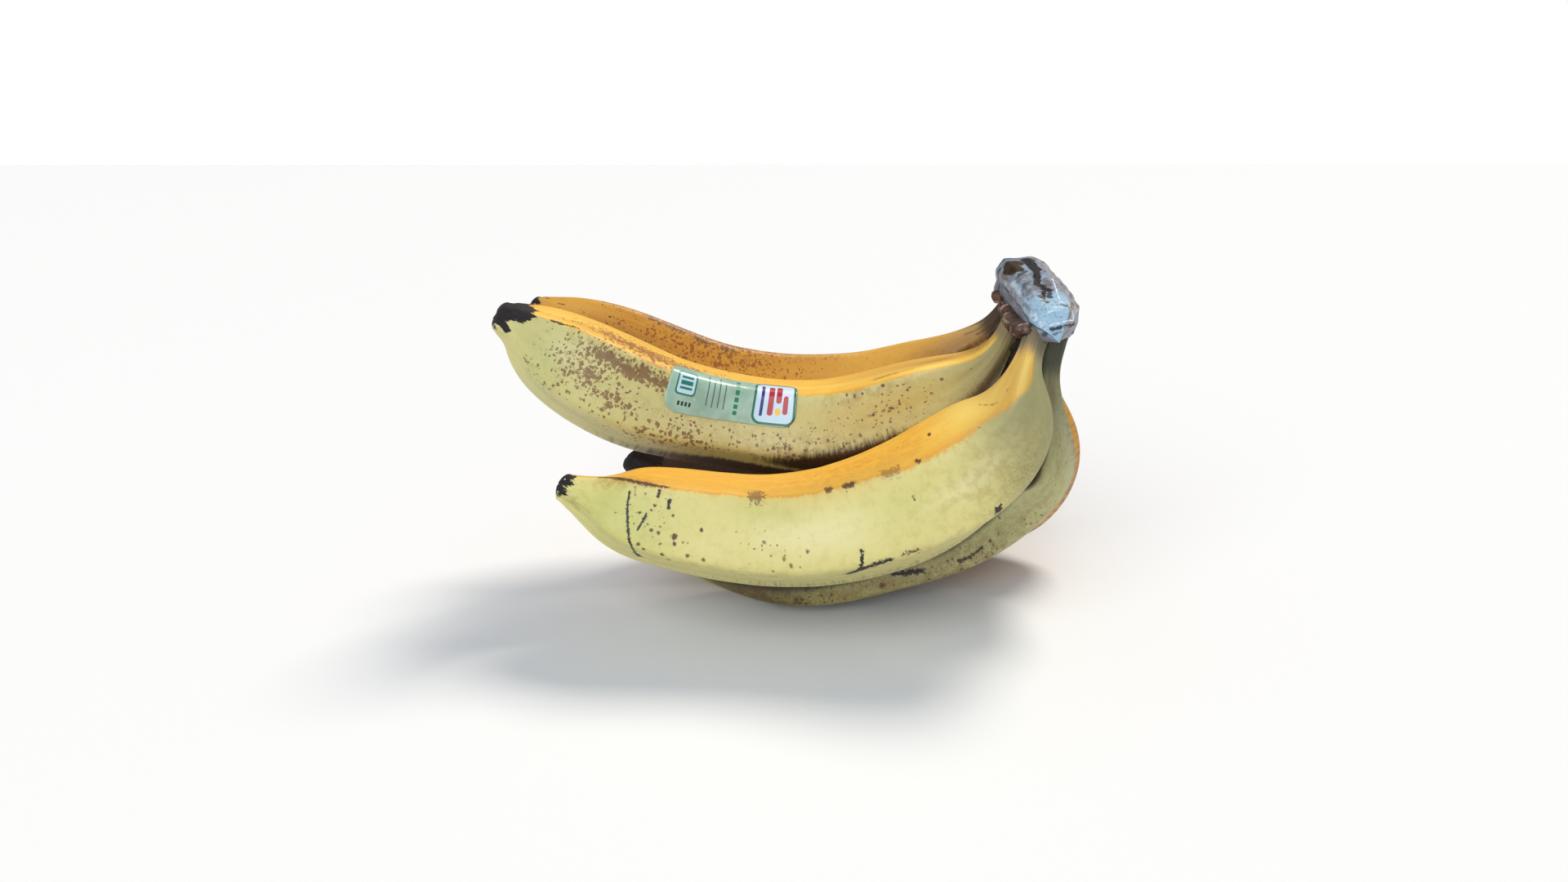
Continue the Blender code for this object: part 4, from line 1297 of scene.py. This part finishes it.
def label_grid():
    """The sticker's points: a rounded rectangle laid on the middle fruit's peel.

    Each row runs along the fruit, and is shorter at the corners by the corner's circle.
    """
    line, run = fine_path(BANANAS["middle"])
    middle = np.interp(-LABEL_MIDDLE, -line[:, 0], run)
    radius = np.interp(-LABEL_MIDDLE, -line[:, 0], line[:, 3])
    down = np.sin(np.linspace(-1, 1, LABEL_ROWS) * math.pi / 2) * LABEL_WIDTH / 2
    past = np.clip(np.abs(down) - (LABEL_WIDTH / 2 - LABEL_CORNER), 0, LABEL_CORNER)
    half = LABEL_LENGTH / 2 - LABEL_CORNER + np.sqrt(LABEL_CORNER**2 - past**2)
    along = half[:, None] * np.linspace(-1, 1, LABEL_COLUMNS)
    stations = (middle + along) / run[-1]
    rows = []
    for row, offset, place in zip(stations, down, along):
        turn = skin(BANANAS["middle"], row)[4]
        around = (LABEL_AROUND - (offset + LABEL_TILT * place) / radius - turn)[:, None]
        rows.append(peel_points("middle", row, around, LABEL_LIFT)[0][:, 0])
    return np.array(rows), along, np.repeat(down[:, None], LABEL_COLUMNS, axis=1)


def box_mask(place, centre, half, corner):
    """A rounded box on the flat map: 1 inside, 0 outside."""
    off = vectors("ABSOLUTE", vectors("SUBTRACT", place, (*centre, 0)))
    over = vectors("SUBTRACT", off, (half[0] - corner, half[1] - corner, 0))
    over = stretch(vectors("MAXIMUM", over, (0, 0, 0)), (1, 1, 0))
    return step(vectors("LENGTH", over, output=1), corner + PRINT_SOFT, corner - PRINT_SOFT)


def label_material(settings):
    """A plain printed sticker: a pale strip, bars, and a white panel with a green border."""
    finish = {"Roughness": 0.36, "Coat Weight": 0.25}
    material, tree, shader = new_material("printed_label", finish)
    place = flat_map(tree, "print")
    broad = noise(place, 0.12, 2.0, 0.5)
    paper = tuple(settings.paper)
    colour = blend(step(broad, 0.35, 0.65), scaled(paper, (0.78, 0.78, 0.78)), paper)
    grain = step(noise(place, 0.8, 3.0, 0.6), 0.62, 0.72)
    colour = blend(grain, colour, (0.52, 0.58, 0.46))
    teal, grey, red = (0.01, 0.18, 0.15), (0.09, 0.12, 0.10), (0.40, 0.004, 0.02)
    # Each print's middle, half sizes, corner and colour, in the order that they are laid on.
    prints = [
        ((-18.2, 1.0), (3.7, 3.7), 1.4, teal),
        ((-18.2, 1.0), (3.1, 3.1), 1.0, (0.52, 0.72, 0.78)),
        ((-18.2, 1.0), (2.2, 0.6), 0.2, teal),
        ((-18.2, 2.5), (2.2, 0.35), 0.2, teal),
        ((-18.2, -0.5), (2.2, 0.35), 0.2, teal),
        ((-10.0, 0.6), (0.22, 5.2), 0.1, grey),
        ((-7.8, -0.4), (0.22, 4.6), 0.1, grey),
        ((-5.6, 0.6), (0.22, 5.4), 0.1, grey),
        ((-3.4, -1.0), (0.22, 4.0), 0.1, grey),
        ((15.9, 0.0), (8.3, 8.4), 3.4, settings.border),
        ((15.9, 0.0), (7.4, 7.5), 2.6, (0.50, 0.70, 0.86)),
        ((15.9, 3.4), (7.0, 3.6), 2.4, (0.66, 0.72, 0.86)),
        ((11.0, 0.0), (0.6, 5.4), 0.2, (0.01, 0.01, 0.20)),
        ((14.4, 0.0), (1.1, 5.0), 0.9, red),
        ((17.4, 2.2), (1.1, 3.2), 0.9, red),
        ((20.2, -1.6), (1.0, 2.8), 0.9, red),
        ((17.4, -3.6), (1.2, 1.2), 1.15, (0.85, 0.50, 0.03)),
    ]
    prints += [((1.2, 5.4 - 2.2 * i), (0.8, 0.75), 0.3, (0.01, 0.20, 0.11)) for i in range(6)]
    prints += [((-19.6 + 1.3 * i, -5.4), (0.4, 0.75), 0.2, (0.02, 0.03, 0.03)) for i in range(4)]
    for centre, half, corner, ink in prints:
        colour = blend(box_mask(place, centre, half, corner), colour, ink)
    worn = step(noise(place, 0.5, 4.0, 0.7), 0.64, 0.74)
    colour = blend(worn * 0.35, colour, (0.55, 0.60, 0.48))
    dress(shader, colour, broad, 0.3, 0.4)
    return material


class HAND_OT_bananas(Operator):
    """Make the five fruit with their freckled peel"""

    bl_idname = "hand.bananas"
    bl_label = "Make Bananas"

    def execute(self, context):
        for name in BANANAS:
            body = make_banana(name, context.scene.hand_bananas, LOOKS[name])
            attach(body, "root")
            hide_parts("banana_hand")
        return {"FINISHED"}


class HAND_OT_crown(Operator):
    """Make the dried tissue that the necks grow out of"""

    bl_idname = "hand.crown"
    bl_label = "Make Crown Tissue"

    def execute(self, context):
        settings = context.scene.hand_crown
        points, faces = crown_form()
        rough = make_piece("crown_rough", points, faces, points.mean(axis=0))
        remesh = rough.modifiers.new("grain", "REMESH")
        remesh.mode = "VOXEL"
        remesh.voxel_size = settings.voxel
        smooth = rough.modifiers.new("smooth", "SMOOTH")
        smooth.iterations = SMOOTH_ROUNDS
        mesh = settled_mesh(rough, "crown_tissue")
        bpy.data.objects.remove(rough)
        body = bpy.data.objects.new("crown_tissue", mesh)
        context.scene.collection.objects.link(body)
        count = len(mesh.vertices)
        place, normal = np.empty(count * 3), np.empty(count * 3)
        mesh.vertices.foreach_get("co", place)
        mesh.vertex_normals.foreach_get("vector", normal)
        place, normal = place.reshape(-1, 3) / MM, normal.reshape(-1, 3)
        knobs = cloud_noise(place, *KNOB_NOISE)
        fine = lattice_noise(place, *GRAIN_NOISE)
        bare = 1 - ramp(*BARE_UNDER, place[:, 2])
        rise = (KNOB_HEIGHT + KNOB_BARE * bare) * knobs - TISSUE_SINK
        rise = rise + (GRAIN_HEIGHT + GRAIN_BARE * bare) * fine
        place = place + normal * rise[:, None]
        mesh.vertices.foreach_set("co", (place * MM).astype(np.float32).ravel())
        paint(body, "proud", ramp(-0.1, 0.7, knobs))
        # Where the painted shade lies: low between the necks.
        paint(body, "web_shade", 1 - ramp(WEB_UNDER, WEB_UNDER + WEB_FADE, place[:, 2]))
        mesh.update()
        mesh.shade_smooth()
        mesh.materials.append(tissue_material(settings))
        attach(body, "root")
        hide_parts("banana_hand")
        return {"FINISHED"}


class HAND_OT_wrap(Operator):
    """Make the clouded wrap over the cut crown"""

    bl_idname = "hand.wrap"
    bl_label = "Make Wrap"

    def execute(self, context):
        settings = context.scene.hand_wrap
        points, share, close = wrap_points(WRAP_RINGS, WRAP_STEPS)
        across = np.linspace(0, 1, WRAP_STEPS)
        offset = points - points.mean(axis=1, keepdims=True)
        outward = offset / np.maximum(np.linalg.norm(offset, axis=-1, keepdims=True), 1e-6)
        pleats = cloud_noise(points * (1, 0.35, 1), *PLEAT_NOISE)
        crease = 1 - np.abs(cloud_noise(points * (1, 0.6, 1), *CREASE_NOISE)) * 2
        fine = 1 - np.abs(lattice_noise(points * (1, 0.5, 1), *WRINKLE_NOISE)) * 2
        hem = bell(across[None], *RIDGE_ACROSS) * HEM_HEIGHT
        groove = -bell(across[None], *GROOVE_ACROSS) * HEM_HEIGHT
        rise = PLEATS * pleats + CREASES * crease + WRINKLES * fine + hem + groove
        rise = rise * close - WRAP_INSET
        points = points + outward * rise[..., None]
        faces, corner_ring, corner_step = grid_faces(WRAP_RINGS, WRAP_STEPS)
        inside = points.mean(axis=(0, 1)) - (0, 0, 4)
        body = make_piece("crown_wrap", points.reshape(-1, 3), faces, inside)
        along, down = share[corner_ring] * WRAP_LENGTH, across[corner_step] * WRAP_GIRTH
        paint_map(body, "wrap", along, down)
        grid_share = np.repeat(share[:, None], WRAP_STEPS, axis=1)
        grid_across = np.repeat(across[None], WRAP_RINGS, axis=0)
        # Where the painted reflection lies: the icy front end and an icy spot.
        icy = (1 - ramp(*ICY_ALONG, grid_share)) * (1 - ramp(*ICY_ACROSS, grid_across))
        spot = bell(grid_share, *ICY_SPOT_ALONG) * bell(grid_across, *ICY_SPOT_ACROSS)
        paint(body, "icy", np.maximum(icy, ICY_SPOT_STRENGTH * spot).ravel())
        # The hem's dark band, partly painted shade, and the groove's painted shadow.
        paint(body, "hem", (1 - ramp(*HEM_END, grid_across)).ravel())
        paint(body, "groove", bell(grid_across, *SHADOW_ACROSS).ravel())
        paint(body, "right", ramp(*FAR_SIDE, grid_across).ravel())
        wall = body.modifiers.new("layers", "SOLIDIFY")
        wall.thickness = settings.thickness
        wall.offset = -1
        body.data.materials.append(wrap_material(settings))
        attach(body, "root")
        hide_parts("crown_film")
        return {"FINISHED"}


class HAND_OT_label(Operator):
    """Make the plain sticker on the middle fruit"""

    bl_idname = "hand.label"
    bl_label = "Make Label"

    def execute(self, context):
        settings = context.scene.hand_label
        grid, along, down = label_grid()
        faces, corner_row, corner_column = grid_faces(LABEL_ROWS, LABEL_COLUMNS)
        centre = along_path(BANANAS["middle"], np.array([LABEL_BEHIND]))[0, :3]
        body = make_piece("fruit_sticker", grid.reshape(-1, 3), faces, centre)
        place = corner_row, corner_column
        paint_map(body, "print", -along[place], -down[place])
        wall = body.modifiers.new("paper", "SOLIDIFY")
        wall.thickness = settings.thickness
        wall.offset = 1
        body.data.materials.append(label_material(settings))
        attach(body, "root")
        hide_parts("fruit_label")
        return {"FINISHED"}


def sun_light(name, place, spread, power, colour):
    """A distant soft light that shines from a place towards the origin."""
    lamp = bpy.data.lights.new(name, "SUN")
    lamp.angle = math.radians(spread)
    lamp.energy = power
    lamp.color = colour
    body = bpy.data.objects.new(name, lamp)
    body.location = place
    body.rotation_euler = (-Vector(place)).to_track_quat("-Z", "Y").to_euler()
    bpy.context.scene.collection.objects.link(body)


class HAND_OT_stage(Operator):
    """Set the floor, the lights and the camera"""

    bl_idname = "hand.stage"
    bl_label = "Set Stage"

    def execute(self, context):
        scene = context.scene
        settings = scene.hand_stage
        floor = bpy.data.meshes.new("floor")
        corners = [(-1, -1, 0), (1, -1, 0), (1, 1, 0), (-1, 1, 0)]
        corners = [[FLOOR_REACH * part for part in corner] for corner in corners]
        floor.from_pydata(corners, [], [(0, 1, 2, 3)])
        ground = bpy.data.objects.new("floor", floor)
        scene.collection.objects.link(ground)
        finish = {"Roughness": 0.9, "Base Color": (*settings.floor, 1)}
        floor.materials.append(new_material("floor", finish)[0])

        world = bpy.data.worlds.new("studio")
        world.use_nodes = True
        tree = world.node_tree
        background = tree.nodes["Background"]
        background.inputs["Color"].default_value = WORLD_COLOUR
        background.inputs["Strength"].default_value = settings.ambient
        backdrop = add(tree, "ShaderNodeBackground", {"Color": (1, 1, 1, 1), "Strength": 1.0})
        seen = add(tree, "ShaderNodeLightPath").outputs["Is Camera Ray"]
        parts = enumerate(map(Signal, (seen, background.outputs[0], backdrop.outputs[0])))
        either = work_out("ShaderNodeMixShader", parts)
        tree.links.new(either.socket, tree.nodes["World Output"].inputs["Surface"])
        scene.world = world
        scene.view_settings.view_transform = "Standard"

        sun_light("key", KEY_PLACE, KEY_SPREAD, settings.key, KEY_COLOUR)
        sun_light("fill", FILL_PLACE, FILL_SPREAD, settings.fill, FILL_COLOUR)

        lens = bpy.data.cameras.new("camera")
        lens.lens = CAMERA_LENS
        lens.sensor_width = 36
        camera = bpy.data.objects.new("camera", lens)
        camera.location = CAMERA_PLACE
        camera.rotation_euler = (math.radians(CAMERA_TILT), 0, 0)
        scene.collection.objects.link(camera)
        scene.camera = camera
        return {"FINISHED"}


class HAND_PT_panel(Panel):
    """The steps, in order"""

    bl_idname = "HAND_PT_panel"
    bl_label = "Hand of Bananas"
    bl_space_type = "VIEW_3D"
    bl_region_type = "UI"
    bl_category = "Bananas"

    def draw(self, context):
        for step_class in STEPS:
            self.layout.operator(step_class.bl_idname)
        for group in SETTINGS:
            values = getattr(context.scene, group)
            for field in values.bl_rna.properties:
                if not field.is_readonly and field.identifier != "name":
                    self.layout.prop(values, field.identifier)


STEPS = (HAND_OT_bananas, HAND_OT_crown, HAND_OT_wrap, HAND_OT_label, HAND_OT_stage)
SETTINGS = {
    "hand_bananas": BananaSettings,
    "hand_crown": CrownSettings,
    "hand_wrap": WrapSettings,
    "hand_label": LabelSettings,
    "hand_stage": StageSettings,
}


def register():
    for thing in (*SETTINGS.values(), *STEPS, HAND_PT_panel):
        bpy.utils.register_class(thing)
    for name, group in SETTINGS.items():
        setattr(bpy.types.Scene, name, PointerProperty(type=group))


def unregister():
    for name in SETTINGS:
        delattr(bpy.types.Scene, name)
    for thing in reversed((*SETTINGS.values(), *STEPS, HAND_PT_panel)):
        bpy.utils.unregister_class(thing)


def main():
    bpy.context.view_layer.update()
    register()
    bpy.ops.hand.bananas()
    bpy.ops.hand.crown()
    bpy.ops.hand.wrap()
    bpy.ops.hand.label()
    bpy.ops.hand.stage()
    bpy.context.view_layer.update()


if __name__ == "__main__":
    main()
